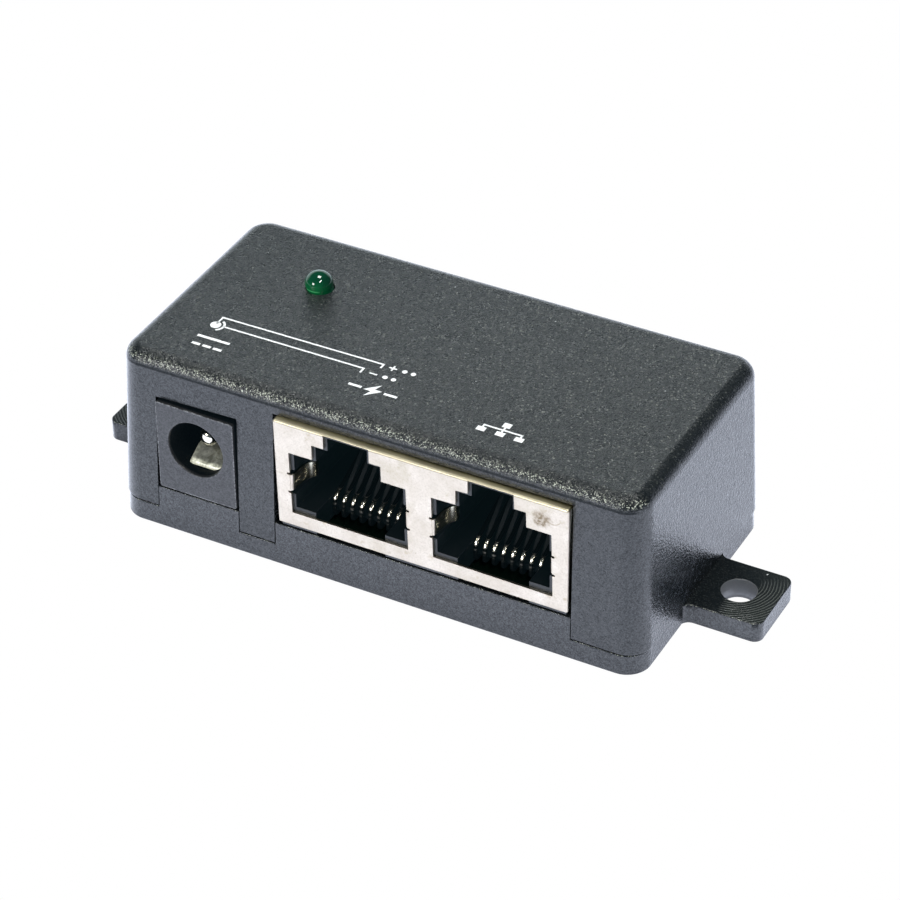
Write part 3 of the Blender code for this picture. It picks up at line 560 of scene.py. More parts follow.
def tin_material():
    """Matte tin plate of the shield: rolled grain, stains and a warm bend on top."""
    net = Surface("tin_plate")
    x, y, z = net.position()
    rolled = net.add("Mapping", {"Vector": net.point, "Scale": (1.0, 1.0, 7.0)})
    grain = net.noise(scale=3600, detail=3.0, rough=0.6, at=rolled)
    cloud = net.noise(scale=260, detail=5.0, rough=0.72)
    colour = net.mix((0.420, 0.365, 0.292), (0.640, 0.586, 0.508),
                     by=cloud.ramp(over=(0.25, 0.75)))

    # spots, flecks, fine mottling and scuffs over the whole sheet
    spots = net.noise(scale=620, detail=3.0, rough=0.65).ramp(over=(0.60, 0.72))
    colour = net.mix(colour, (0.33, 0.27, 0.17), by=spots * 0.62)
    flecks = net.specks(scale=900, radius=(0.05, 0.09))
    colour = net.mix(colour, (0.26, 0.22, 0.15), by=flecks * 0.45)
    mottling = net.noise(scale=5200, rough=0.6).ramp(over=(0.48, 0.70))
    colour = net.mix(colour, (0.36, 0.31, 0.25), by=mottling * 0.45)
    scuff = net.noise(scale=95, detail=4.0, rough=0.7, distortion=0.6).ramp(over=(0.56, 0.70))
    colour = net.mix(colour, (0.35, 0.30, 0.21), by=scuff * 0.50)

    # brown stain near the upper right corner of the face
    radius = net.distance(x - (RJ_X1 - 2.75) * MM, z - (RJ_Z1 - 1.95) * MM)
    radius += (net.noise(scale=900, detail=3.0, rough=0.6) - 0.5) * 0.0016
    stain = radius.ease(over=(0.00040, 0.00125), to=(1.0, 0.0))
    stain *= net.noise(scale=2300, rough=0.7).ramp(over=(0.36, 0.60), to=(0.25, 1.0))
    colour = net.mix(colour, (0.19, 0.14, 0.08), by=stain * 0.88)
    colour = net.mix(colour, (0.22, 0.17, 0.09), by=net.edge(radius=0.00007) * 0.62)

    # a curved scratch beside it: the lower part of a ring
    rise = z - (RJ_Z1 - 1.35) * MM
    off_ring = abs(net.distance(x - (RJ_X1 - 1.65) * MM, rise) - 0.85 * MM)
    scratch = off_ring.ramp(over=mm(0.03, 0.10), to=(1.0, 0.0))
    scratch *= rise.ramp(over=mm(-0.30, -0.50))
    colour = net.mix(colour, (0.22, 0.17, 0.10), by=scratch * 0.5)

    # pale gold bend on top, darkening toward the rear as painted shadow of the cover's edge,
    # with a dark seam below it
    bend = z.ease(over=mm(RJ_Z1 - 0.22, RJ_Z1 - 0.17))
    gold = net.mix((0.58, 0.52, 0.37), (0.25, 0.22, 0.11),
                   by=y.ramp(over=mm(FRONT - 0.20, FRONT + 0.50)))
    colour = net.mix(colour, gold, by=bend * 0.92)
    seam = z.ramp(over=mm(RJ_Z1 - 0.28, RJ_Z1 - 0.20))
    seam *= z.ramp(over=mm(RJ_Z1 - 0.13, RJ_Z1 - 0.20))
    colour = net.mix(colour, (0.15, 0.115, 0.065), by=seam * 0.70)

    # inside the openings and on the fingers the sheet is plain and bright
    deep = y.ramp(over=mm(FRONT + 0.10, FRONT + 0.32))
    below = 1.0 - bend
    bright = net.mix((0.36, 0.34, 0.25), (0.74, 0.71, 0.60),
                     by=net.noise(scale=1700, detail=3.0, rough=0.65))
    colour = net.mix(colour, bright, by=deep * below)
    rough = cloud.ramp(over=NOISE_SPAN, to=(0.34, 0.46)) + stain * 0.25
    rough = net.mix(rough, grey(0.24), by=deep * below)
    height = grain * 0.5 + net.noise(scale=1500, detail=3.0, rough=0.6) * 0.5
    return net.finish(colour=colour, metallic=1.0, rough=rough,
                      normal=net.bump(height, strength=0.30, distance=0.000022))


def metal_material(name, dark, pale, rough, metallic=1.0):
    """Plain finish: clouded between two colours, with a fine uneven gloss."""
    net = Surface(name)
    fine = net.noise(scale=1500.0, detail=3.0, rough=0.6)
    return net.finish(colour=net.mix(dark, pale, by=net.noise(scale=300.0)), metallic=metallic,
                      rough=fine.ramp(over=NOISE_SPAN, to=rough),
                      normal=net.bump(fine, strength=0.2, distance=0.00001))


def led_material():
    """Green tinted epoxy, with painted light low down at the front, in its colour and its glow.
    """
    net = Surface("led_epoxy")
    x, _, z = net.position()
    low = z.ease(over=mm(COVER_TOP + 1.55, COVER_TOP + 0.25))
    front = net.normal("Y").ease(over=(0.1, -0.7))
    light = low * front
    colour = net.mix((0.0006, 0.026, 0.012), (0.0010, 0.040, 0.017),
                     by=net.noise(scale=1500, detail=3.0, rough=0.6))
    colour = net.mix(colour, (0.0015, 0.100, 0.028), by=light)
    # painted bright line just above the case, in the middle of the front
    line = z.ramp(over=mm(COVER_TOP + 0.36, COVER_TOP + 0.24))
    line *= z.ramp(over=mm(COVER_TOP + 0.06, COVER_TOP + 0.15))
    middle = abs(x - (LED_X - 0.05) * MM).ease(over=mm(0.55, 0.95), to=(1.0, 0.0))
    colour = net.mix(colour, (0.11, 0.60, 0.22), by=(line * front) * middle)
    # painted shade on the right side
    side = net.normal("X").ease(over=(0.35, 0.80))
    colour = net.mix(colour, (0.0006, 0.016, 0.008), by=side * 0.8)
    return net.finish(
        colour=colour, ior=1.53,
        rough=net.noise(scale=2600).ramp(over=NOISE_SPAN, to=(0.03, 0.07)),
        normal=net.bump(net.noise(scale=700), strength=0.10, distance=0.00002),
        glow=net.mix((0.0003, 0.012, 0.006), (0.0008, 0.045, 0.014), by=light),
        glow_strength=GLOW_STRENGTH)


def ink_material():
    net = Surface("white_ink")
    grain = net.noise(scale=4200, detail=3.0, rough=0.6)
    colour = net.mix((0.74, 0.76, 0.77), (0.90, 0.91, 0.92), by=grain.ramp(over=(0.35, 0.55)))
    return net.finish(colour=colour, rough=grain.ramp(over=NOISE_SPAN, to=(0.45, 0.6)),
                      normal=net.bump(grain, strength=0.4, distance=0.00003))


def board_material():
    """Dark green circuit board, darkened near black as painted shade inside the case."""
    net = Surface("solder_mask")
    green = (0.0012, 0.0070, 0.0040)
    brick, mortar = net.split("TexBrick", {
        "Vector": net.point, "Scale": 180, "Color1": green,
        "Color2": (0.0016, 0.0095, 0.0052), "Mortar": (0.0010, 0.0050, 0.0030)})
    return net.finish(colour=net.mix(brick, green, by=net.noise(scale=900)),
                      rough=net.noise(scale=700).ramp(over=NOISE_SPAN, to=(0.25, 0.4)),
                      normal=net.bump(mortar, strength=0.2, distance=0.00003))


CASE = case_material("case_abs")
BASE = case_material("base_abs", ears=True)
SOCKET = socket_material()
DC_BLACK = dc_material()
TIN = tin_material()
# a spare finish that no piece wears
metal_material("gold_flash", dark=(0.72, 0.60, 0.40), pale=(0.86, 0.74, 0.52),
               rough=(0.16, 0.26))
NICKEL = metal_material("nickel_plate", dark=(0.70, 0.66, 0.56), pale=(0.86, 0.82, 0.72),
                        rough=(0.10, 0.20))
SCREW = metal_material("zinc_screw", dark=(0.34, 0.34, 0.35), pale=(0.52, 0.52, 0.53),
                       rough=(0.28, 0.42))
LEADS = metal_material("tinned_lead", dark=grey(0.66), pale=grey(0.80), rough=(0.22, 0.34))
LED = led_material()
CARRIER = carrier_material()
WIRE = wire_material()
LEAF = leaf_material()
INK = ink_material()
BOARD = board_material()
CHIP = metal_material("chip_glaze", dark=(0.02, 0.02, 0.025), pale=(0.05, 0.05, 0.055),
                      rough=(0.3, 0.45), metallic=0.0)


# ------------------------------------------------------------- object helpers
def emit(name, mesh, material, smooth=True):
    """Turn a bmesh in millimetres into an object in metres."""
    for vert in mesh.verts:
        vert.co = vert.co * MM
    bmesh.ops.recalc_face_normals(mesh, faces=mesh.faces[:])
    data = bpy.data.meshes.new(name)
    mesh.to_mesh(data)
    mesh.free()
    if material is not None:
        data.materials.append(material)
    part = bpy.data.objects.new(name, data)
    bpy.context.scene.collection.objects.link(part)
    if smooth:
        data.shade_smooth()
    return part


def apply_modifiers(part):
    bpy.context.view_layer.update()
    graph = bpy.context.evaluated_depsgraph_get()
    data = bpy.data.meshes.new_from_object(part.evaluated_get(graph))
    old = part.data
    part.modifiers.clear()
    part.data = data
    bpy.data.meshes.remove(old)
    data.name = part.name


def boolean(part, mesh, operation="DIFFERENCE"):
    tool = emit("tool", mesh, None, smooth=False)
    modifier = part.modifiers.new("b", "BOOLEAN")
    modifier.operation = operation
    modifier.solver = "EXACT"
    modifier.object = tool
    apply_modifiers(part)
    bpy.data.objects.remove(tool, do_unlink=True)


def cut_boxes(part, *boxes):
    boolean(part, boxes_mesh(*boxes))


def join_box(part, *limits):
    boolean(part, boxes_mesh(limits), "UNION")


def crease(part, angle):
    """Shade edges sharper than `angle` degrees as sharp."""
    part.data.set_sharp_from_angle(angle=math.radians(angle))


def weight_normals(part, crease_angle):
    """Shade smooth between creases, with normals weighted by face area."""
    part.data.shade_smooth()
    crease(part, crease_angle)
    modifier = part.modifiers.new("weights", "WEIGHTED_NORMAL")
    modifier.keep_sharp = True
    modifier.weight = 80


def soften(part, width, angle):
    """Round the edges sharper than `angle` degrees, then weight the normals."""
    mesh = bmesh.new()
    mesh.from_mesh(part.data)
    bmesh.ops.remove_doubles(mesh, verts=mesh.verts, dist=2e-7)
    bmesh.ops.dissolve_degenerate(mesh, edges=mesh.edges, dist=2e-7)
    mesh.to_mesh(part.data)
    mesh.free()
    modifier = part.modifiers.new("bevel", "BEVEL")
    modifier.width = width * MM
    modifier.segments = 2
    modifier.limit_method = "ANGLE"
    modifier.angle_limit = math.radians(angle)
    modifier.miter_outer = "MITER_ARC"
    modifier.use_clamp_overlap = True
    modifier.loop_slide = True
    apply_modifiers(part)
    weight_normals(part, crease_angle=50)


def lean_forward(part):
    """Lean an RJ45 piece forward above the foot of the pressed face."""
    mesh = bmesh.new()
    mesh.from_mesh(part.data)
    for vert in mesh.verts:
        vert.co.y -= RJ_LEAN * max(0.0, vert.co.z - RJ_Z0 * MM)
    mesh.to_mesh(part.data)
    mesh.free()


def ride(part, body, slot, *nodes):
    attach(part, body)
    if nodes:
        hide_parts(*nodes)


# -------------------------------------------------------------- shape helpers
def box(mesh, x0, x1, y0, y1, z0, z1):
    centre = Matrix.Translation(((x0 + x1) / 2, (y0 + y1) / 2, (z0 + z1) / 2))
    size = Matrix.Diagonal((x1 - x0, y1 - y0, z1 - z0, 1.0))
    bmesh.ops.create_cube(mesh, size=1.0, matrix=centre @ size)


def boxes_mesh(*boxes):
    mesh = bmesh.new()
    for limits in boxes:
        box(mesh, *limits)
    return mesh


def bridge(mesh, lower, upper):
    """Join two rings with faces; a ring of one vertex is a pole."""
    count = max(len(lower), len(upper))
    for i in range(count):
        j = (i + 1) % count
        if len(lower) == 1:
            mesh.faces.new((lower[0], upper[i], upper[j]))
        elif len(upper) == 1:
            mesh.faces.new((lower[i], lower[j], upper[0]))
        else:
            mesh.faces.new((lower[i], lower[j], upper[j], upper[i]))


def loft(mesh, rings):
    """Closed skin through rings of points."""
    rows = [[mesh.verts.new(point) for point in ring] for ring in rings]
    for lower, upper in zip(rows, rows[1:]):
        bridge(mesh, lower, upper)
    for ring in (rows[0][::-1], rows[-1]):
        if len(ring) > 1:
            mesh.faces.new(ring)


def turned(mesh, profile, centre, segments, axis="Z"):
    """Solid of revolution; the profile is (radius, distance along the axis)."""
    centre = Vector(centre)

    def place(radius, along, angle):
        across, other = radius * math.cos(angle), radius * math.sin(angle)
        if axis == "Z":
            return centre + Vector((across, other, along))
        return centre + Vector((across, along, other))

    rings = []
    for radius, along in profile:
        if radius < 1e-6:
            rings.append([place(0, along, 0)])
        else:
            rings.append([place(radius, along, 2 * math.pi * k / segments)
                          for k in range(segments)])
    loft(mesh, rings)


def round_rect(half_length, half_width, radius, z):
    points = []
    for side_x, side_y, start in ((1, -1, -90), (1, 1, 0), (-1, 1, 90), (-1, -1, 180)):
        for k in range(CORNER_STEPS + 1):
            angle = math.radians(start + 90.0 * k / CORNER_STEPS)
            points.append((side_x * (half_length - radius) + radius * math.cos(angle),
                           side_y * (half_width - radius) + radius * math.sin(angle), z))
    return points


def prism_x(mesh, outline, x0, x1):
    """Prism along x; the outline is (depth behind the front, z)."""
    loft(mesh, [[(x, FRONT + depth, z) for depth, z in outline] for x in (x0, x1)])


def prism_y(mesh, outline, depth0, depth1):
    """Prism through the front wall; the outline is (x, z)."""
    loft(mesh, [[(x, FRONT + depth, z) for x, z in outline] for depth in (depth0, depth1)])


def arc(centre_x, centre_y, radius, start, end, steps):
    """Points on an arc between two angles in degrees."""
    points = []
    for k in range(steps + 1):
        angle = math.radians(start + (end - start) * k / steps)
        points.append((centre_x + radius * math.cos(angle), centre_y + radius * math.sin(angle)))
    return points


def smooth_path(points, steps=6):
    """Catmull-Rom curve through 2-D points."""
    curve = []
    knots = [points[0]] + list(points) + [points[-1]]
    for i in range(1, len(knots) - 2):
        for k in range(steps):
            t = k / steps
            curve.append(tuple(
                0.5 * (2 * b + (c - a) * t + (2 * a - 5 * b + 4 * c - d) * t * t
                       + (3 * b - a - 3 * c + d) * t ** 3)
                for a, b, c, d in zip(*knots[i - 1:i + 3])))
    curve.append(tuple(points[-1]))
    return curve


def strip(mesh, path, thick, place, edge0, edge1, radius, steps, ends=True):
    """Sweep a rounded flat section along a 2-D path. place(u, v, w) gives the point: u and v
    lie in the path's plane and w runs across the strip, from edge0 to edge1."""
    half_w, half_t, middle = (edge1 - edge0) / 2, thick / 2, (edge0 + edge1) / 2
    radius = min(radius, half_t * 0.95, half_w * 0.95)
    section = []
    for side_w, side_t, start in ((1, 1, 0), (-1, 1, 90), (-1, -1, 180), (1, -1, 270)):
        for k in range(steps + 1):
            angle = math.radians(start + 90.0 * k / steps)
            section.append((side_w * (half_w - radius) + radius * math.cos(angle),
                            side_t * (half_t - radius) + radius * math.sin(angle)))

    def shrunk(value, amount):
        return value - math.copysign(min(amount, abs(value)), value)

    def ring(i, slide=0.0, shrink=0.0):
        before, after = path[max(i - 1, 0)], path[min(i + 1, len(path) - 1)]
        run_u, run_v = after[0] - before[0], after[1] - before[1]
        length = math.hypot(run_u, run_v)
        dir_u, dir_v = run_u / length, run_v / length
        u, v = path[i][0] + dir_u * slide, path[i][1] + dir_v * slide
        points = []
        for across, out in section:
            across, out = shrunk(across, shrink), shrunk(out, shrink)
            points.append(place(u - dir_v * out, v + dir_u * out, middle + across))
        return points

    last = len(path) - 1
    ease = min(0.05, half_t * 0.5)
    first_rings, last_rings = [ring(0)], [ring(last)]
    if ends:
        first_rings = [ring(0, 0.0, ease), ring(0, ease * 0.3, ease * 0.3), ring(0, ease)]
        last_rings = [ring(last, -ease), ring(last, -ease * 0.3, ease * 0.3),
                      ring(last, 0.0, ease)]
    loft(mesh, first_rings + [ring(i) for i in range(1, last)] + last_rings)


# ------------------------------------------------------------------ top cover
def build_cover():
    top_steps = 14
    boss_r = 2.7
    led_hole_r = (LED_HI.x - LED_LO.x) / 2 - LED_FLANGE + 0.03
    led_hole_shift = 0.12
    screw_hole_r, screw_hole_z = 1.31, (1.5, 10.5)

    # (z, inset) down the outside, then the hollow
    stations = []
    for k in range(top_steps, -1, -1):
        angle = math.radians(90.0 * k / top_steps)
        stations.append((COVER_TOP - TOP_R + TOP_R * math.sin(angle),
                         TOP_R * (1 - math.cos(angle))))
    stations += [(COVER_FOOT + 8.0, 0), (COVER_FOOT + 0.16, 0.0), (COVER_FOOT + 0.06, 0.03),
                 (COVER_FOOT, 0.11)]
    rings = [round_rect(half_x(z) - inset, half_y(z) - inset, PLAN_R - inset, z)
             for z, inset in stations]
    for z in (COVER_FOOT, ROOF):
        rings.append(round_rect(half_x(z) - WALL, half_y(z) - WALL, INNER_R, z))
    mesh = bmesh.new()
    loft(mesh, rings)
    cover = emit("cover_shell", mesh, CASE)

    bosses = bmesh.new()
    for centre in SCREW_CENTRES:
        turned(bosses, ((boss_r, COVER_FOOT + 0.1), (boss_r, ROOF + 0.8)), centre, segments=32)
    boolean(cover, bosses, "UNION")

    cuts = bmesh.new()
    for outline in (DC_NOTCH, RJ_NOTCH):
        prism_y(cuts, outline, -2.0, 3.2)
    turned(cuts, ((led_hole_r, ROOF - 1.0), (led_hole_r, COVER_TOP + 1.0)),
           (LED_X + led_hole_shift, LED_Y, 0), segments=64)
    for centre in SCREW_CENTRES:
        turned(cuts, [(screw_hole_r, z) for z in screw_hole_z], centre, segments=24)
    boolean(cover, cuts)
    soften(cover, width=0.09, angle=50)
    ride(cover, "case", "case_plastic", "top_cover")


# ----------------------------------------------------------------- base plate
def ear_ring(side, z, inset):
    """Outline of an ear: filleted roots and rounded outer corners."""
    root = half_x(EAR_T) - RIM_INSET - 0.02
    half = [(root - 1.0, -EAR_HALF - EAR_R + inset)]
    half += arc(root + EAR_R, -EAR_HALF - EAR_R, EAR_R + inset, 180, 90, 8)
    half += arc(EAR_TIP - EAR_R, -EAR_HALF + EAR_R, EAR_R - inset, -90, 0, 10)
    outline = half + [(x, -y) for x, y in reversed(half)]
    points = [(side * x, y, z) for x, y in outline]
    return points if side > 0 else points[::-1]


def tongue(mesh, notch, top):
    """Raised piece of the base's front wall that fills the foot of a notch."""
    ease = 0.10
    low, back, inner = SEAM - 0.3, 1.8, 0.9
    outline = [(DRAFT_Y * low, low), (DRAFT_Y * (top - ease), top - ease),
               (DRAFT_Y * top + 0.03, top - 0.03), (DRAFT_Y * top + ease, top),
               (back, top), (back, 1.0), (inner, 1.0), (inner, low)]
    prism_x(mesh, outline, notch[0][0] + 0.14, notch[3][0] - 0.11)


def base_inner_parts():
    """The two tongues, ribs along the end and rear walls, and posts under the board."""
    rib_gap, rib_t, rib_z = 0.12, 1.1, 5.0
    post_half_x, post_half_y = 1.3, 0.9
    posts = ((-22.0, -10.6), (-14.0, 9.6), (23.4, 8.6), (16.0, 9.6))
    mesh = bmesh.new()
    tongue(mesh, DC_NOTCH, DC_TONGUE)
    tongue(mesh, RJ_NOTCH, RJ_TONGUE)
    for side in (-1, 1):
        x = side * (half_x(rib_z) - WALL - rib_gap)
        box(mesh, *sorted((x, x - side * rib_t)), -5.0, 5.0, 1.0, rib_z)
    y = half_y(rib_z) - WALL - rib_gap
    box(mesh, -8.0, 8.0, y - rib_t, y, 1.0, rib_z)
    for x, y in posts:
        box(mesh, x - post_half_x, x + post_half_x, y - post_half_y, y + post_half_y,
            1.0, BOARD_FOOT - 0.05)
    return mesh


def build_base():
    # (z, inset) from the underside up to the seam
    wall = ((0.0, 0.12), (0.03, 0.04), (0.11, 0.0), (SEAM - 0.12, 0.0), (SEAM - 0.04, 0.02),
            (SEAM, 0.08))
    ear = ((0.0, 0.08), (0.02, 0.02), (0.08, 0.0), (EAR_T - 0.12, 0.0),
           (EAR_T - 0.06, 0.016), (EAR_T - 0.016, 0.06), (EAR_T, 0.12))
    pillar_r = 3.4
    chamfer = 0.07
    # (radius, z) of the counterbored screw hole
    screw_hole = ((2.80, -1.0), (2.80, 0.0), (2.65, 0.15), (2.65, 1.35), (1.37, 1.35),
                  (1.37, 4.0))

    rings = [round_rect(half_x(z) - RIM_INSET - inset, half_y(z) - inset, PLAN_R - inset, z)
             for z, inset in wall]
    for z in (SEAM, BASE_FLOOR):
        rings.append(round_rect(half_x(SEAM) - WALL, half_y(SEAM) - WALL, INNER_R, z))
    mesh = bmesh.new()
    loft(mesh, rings)
    base = emit("base_shell", mesh, BASE)

    ears = bmesh.new()
    for side in (1, -1):
        loft(ears, [ear_ring(side, z, inset) for z, inset in ear])
    boolean(base, ears, "UNION")
    boolean(base, base_inner_parts(), "UNION")

    pillars = bmesh.new()
    for centre in SCREW_CENTRES:
        turned(pillars, ((pillar_r, 1.0), (pillar_r, SEAM - 0.02)), centre, segments=32)
    boolean(base, pillars, "UNION")

    holes = bmesh.new()
    ear_hole = ((EAR_HOLE_R, -1.0), (EAR_HOLE_R, EAR_T - chamfer),
                (EAR_HOLE_R + chamfer, EAR_T), (EAR_HOLE_R + chamfer + 1.0, EAR_T + 1.0))
    for side in (-1, 1):
        turned(holes, ear_hole, (side * EAR_HOLE_X, 0, 0), segments=64)
    for centre in SCREW_CENTRES:
        turned(holes, screw_hole, centre, segments=40)
    boolean(base, holes)
    weight_normals(base, crease_angle=48)
    ride(base, "case", "base_plastic", "base_plate")


# ---------------------------------------------------------------- RJ45 shield
def side_x(side, z, cut):
    """x of an opening's side wall at height z."""
    (x0, z0), (x1, z1) = (cut[0], cut[1]) if side > 0 else (cut[11], cut[10])
    return x0 + (x1 - x0) * (z - z0) / (z1 - z0)


def is_bend(edge):
    """True for the shield's folded edges: round the face, and along the top sides."""
    start, end = edge.verts[0].co, edge.verts[1].co
    front = abs(start.y - FRONT) < 1e-3 and abs(end.y - FRONT) < 1e-3
    top = abs(start.z - RJ_Z1) < 1e-3 and abs(end.z - RJ_Z1) < 1e-3
    return (front and (top or abs(start.z - end.z) > 1)) or (top and abs(start.y - end.y) > 1)


def shield_blank():
    mesh = boxes_mesh((RJ_X0, RJ_X1, FRONT, RJ_REAR, SHIELD_FOOT, RJ_Z1))
    bmesh.ops.bevel(mesh, geom=[edge for edge in mesh.edges if is_bend(edge)],
                    offset=0.26, segments=8, profile=0.5, affect="EDGES")
    for vert in mesh.verts:
        # the pressed face is a touch wider at its top than at its foot
        if vert.co.y < FRONT + 3:
            t = (vert.co.z - RJ_Z0) / (RJ_Z1 - RJ_Z0)
            if vert.co.x < 0:
                vert.co.x += -0.03 * t + 0.05 * (1 - t)
            else:
                vert.co.x += 0.02 * t - 0.09 * (1 - t)
    return emit("shield_wrap", mesh, TIN)


def slit(mesh, cut, side, z):
    """Saw slit with a round end, into the side of an opening."""
    x = side_x(side, z, cut)
    start = -90 if side > 0 else 270
    outline = [(x - side * 0.2, z - SLIT_W / 2)]
    outline += arc(x + side * 0.17, z, SLIT_W / 2, start, 90, 8)
    outline += [(x - side * 0.2, z + SLIT_W / 2)]
    prism_y(mesh, outline, -1.0, RJ_SHEET + 0.5)


def shield_wrap():
    nick_r, nick_z = 0.13, RJ_Z0 + 0.06
    wrap = shield_blank()
    cut_boxes(wrap, (RJ_X0 + RJ_SHEET, RJ_X1 - RJ_SHEET, FRONT + RJ_SHEET, RJ_REAR + 2,
                     SHIELD_FOOT - 2, RJ_Z1 - RJ_SHEET))
    cut_boxes(wrap, (RJ_X0 - 1, RJ_X1 + 1, FRONT - 1, FRONT + 2.1, SHIELD_FOOT - 1, RJ_Z0))
    nicks = bmesh.new()
    for x in (RJ_X0 + 1.72, RJ_X1 - 1.58):
        turned(nicks, ((nick_r, -1.0), (nick_r, 1.0)), (x, FRONT, nick_z), segments=20,
               axis="Y")
        box(nicks, x - nick_r, x + nick_r, FRONT - 1.0, FRONT + 1.0, RJ_Z0 - 0.6, nick_z)
    boolean(wrap, nicks)
    openings = bmesh.new()
    for cut in PORT_CUTS:
        prism_y(openings, cut, -1.0, RJ_SHEET + 0.05)
    boolean(wrap, openings)
    slits = bmesh.new()
    for cut in PORT_CUTS:
        for side in (-1, 1):
            for z in SLIT_Z:
                slit(slits, cut, side, z)
    boolean(wrap, slits)
    lean_forward(wrap)
    soften(wrap, width=0.03, angle=40)
    return wrap


def shield_fingers():
    """Spring leaves bent back into the sockets, one at each side of an opening."""
    # (inward, depth)
    path = smooth_path([(-0.05, 0.15), (0.06, 0.20), (0.15, 0.45), (0.20, 1.20), (0.28, 2.10),
                        (0.50, 2.70), (0.80, 3.10), (0.93, 3.45), (0.86, 3.92)])
    z0, z1 = SLIT_Z[0] + SLIT_W / 2 + 0.02, SLIT_Z[1] - SLIT_W / 2 - 0.02
    mesh = bmesh.new()
    for cut in PORT_CUTS:
        for side in (-1, 1):
            x = side_x(side, 10.8, cut)

            def place(inward, depth, z):
                return (x - side * inward, FRONT + depth - RJ_LEAN * (z - RJ_Z0), z)

            strip(mesh, path, 0.22, place, z0, z1, radius=0.05, steps=3)
    fingers = emit("shield_fingers", mesh, TIN)
    crease(fingers, 50)
    return fingers


def shield_pins():
    """Four legs below the side walls."""
    mesh = boxes_mesh(*[
        (x, x + RJ_SHEET, FRONT + depth - 0.5, FRONT + depth + 0.5,
         SHIELD_LO.z, SHIELD_FOOT + 0.02)
        for x in (RJ_X0, RJ_X1 - RJ_SHEET) for depth in (7.5, 16.5)])
    return emit("shield_ground_pins", mesh, TIN, smooth=False)


def build_shield():
    wrap = shield_wrap()
    fingers = shield_fingers()
    pins = shield_pins()
    ride(fingers, "case", "tin_plate")
    ride(pins, "case", "tin_plate")
    ride(wrap, "case", "tin_plate", "rj45_shield")


# ------------------------------------------------------ RJ45 body and contacts
def build_socket_body():
    cavity_depth = 14.6
    channel_half, channel_depth, channel_z = 3.88, 16.9, (3.0, 7.86)
    recess_x, recess_depth, recess_margin = (5.6, 6.95), 4.6, 0.35
    mesh = boxes_mesh((BODY_LO.x, BODY_HI.x, BODY_LO.y - 0.04, BODY_HI.y, BODY_LO.z, BODY_HI.z))
    body = emit("socket_body", mesh, SOCKET)
    cavities = bmesh.new()
    for port in PORT_X:
        right = [(port + half, z) for half, z0, z1 in CAVITY_TIERS for z in (z0, z1)]
        outline = right + [(2 * port - x, z) for x, z in reversed(right)]
        prism_y(cavities, outline, -1.0, cavity_depth)
    boolean(body, cavities)
    # open channel for the contacts, then recesses for the fingers
    cut_boxes(body, *[(port - channel_half, port + channel_half, FRONT - 1.0,
                       FRONT + channel_depth, *channel_z) for port in PORT_X])
    cut_boxes(body, *[(*sorted(port + side * x for x in recess_x), FRONT - 1.0,
                       FRONT + recess_depth, SLIT_Z[0] - recess_margin,
                       SLIT_Z[1] + recess_margin) for port in PORT_X for side in (-1, 1)])
    lean_forward(body)
    soften(body, width=0.08, angle=40)
    ride(body, "case", "socket_plastic", "rj45_housing")


def contact_wire(name, path, x, radius):
    half, thick = 0.225, 0.355
    mesh = bmesh.new()
    strip(mesh, path, thick, lambda depth, z, across: (across, FRONT + depth, z),
          x - half, x + half, radius=radius, steps=5, ends=False)
    return emit(name, mesh, WIRE)


def build_wires():
    """Eight contacts per socket: a spring rising to the rear and a tail down to the board."""
    front, foot = 3.41, 6.74          # depth and z where spring and tail meet
    bend_r = 1.20
    beam_end, beam_steps = 10.3, 12
    slope = math.tan(math.radians(21.0))
    tail_r, tail_z = 0.3, 5.6
    rows, tail_foot = (12.7, 15.24), 2.3

    beam = [(front, foot - 0.10), (front, foot - 0.05)]
    beam += arc(front + bend_r, foot, bend_r, 180, 111, 24)
    start, start_z = beam[-1]
    for k in range(1, beam_steps + 1):
        depth = start + (beam_end - start) * k / beam_steps
        beam.append((depth, start_z + (depth - start) * slope))
    for prefix, port in zip(("poe", "lan"), PORT_X):
        for i in range(8):
            x = port + (i - 3.5) * PITCH
            spring = contact_wire("%s_wire_spring_%d" % (prefix, i + 1), beam, x, 0.165)
            ride(spring, prefix + "_contacts_flexing", "gold_wire",
                 "%s_contact_spring_%d" % (prefix, i + 1))
            row = rows[i % 2]
            path = [(front, foot - drop) for drop in (0.145, 0.4, 0.6)]
            path += arc(front + tail_r, tail_z + tail_r, tail_r, 180, 270, 8)
            path += arc(row - tail_r, tail_z - tail_r, tail_r, 90, 0, 6) + [(row, tail_foot)]
            tail = contact_wire("%s_wire_tail_%d" % (prefix, i + 1), path, x, 0.15)
            ride(tail, "case", "gold_wire", "%s_contact_tail_%d" % (prefix, i + 1))


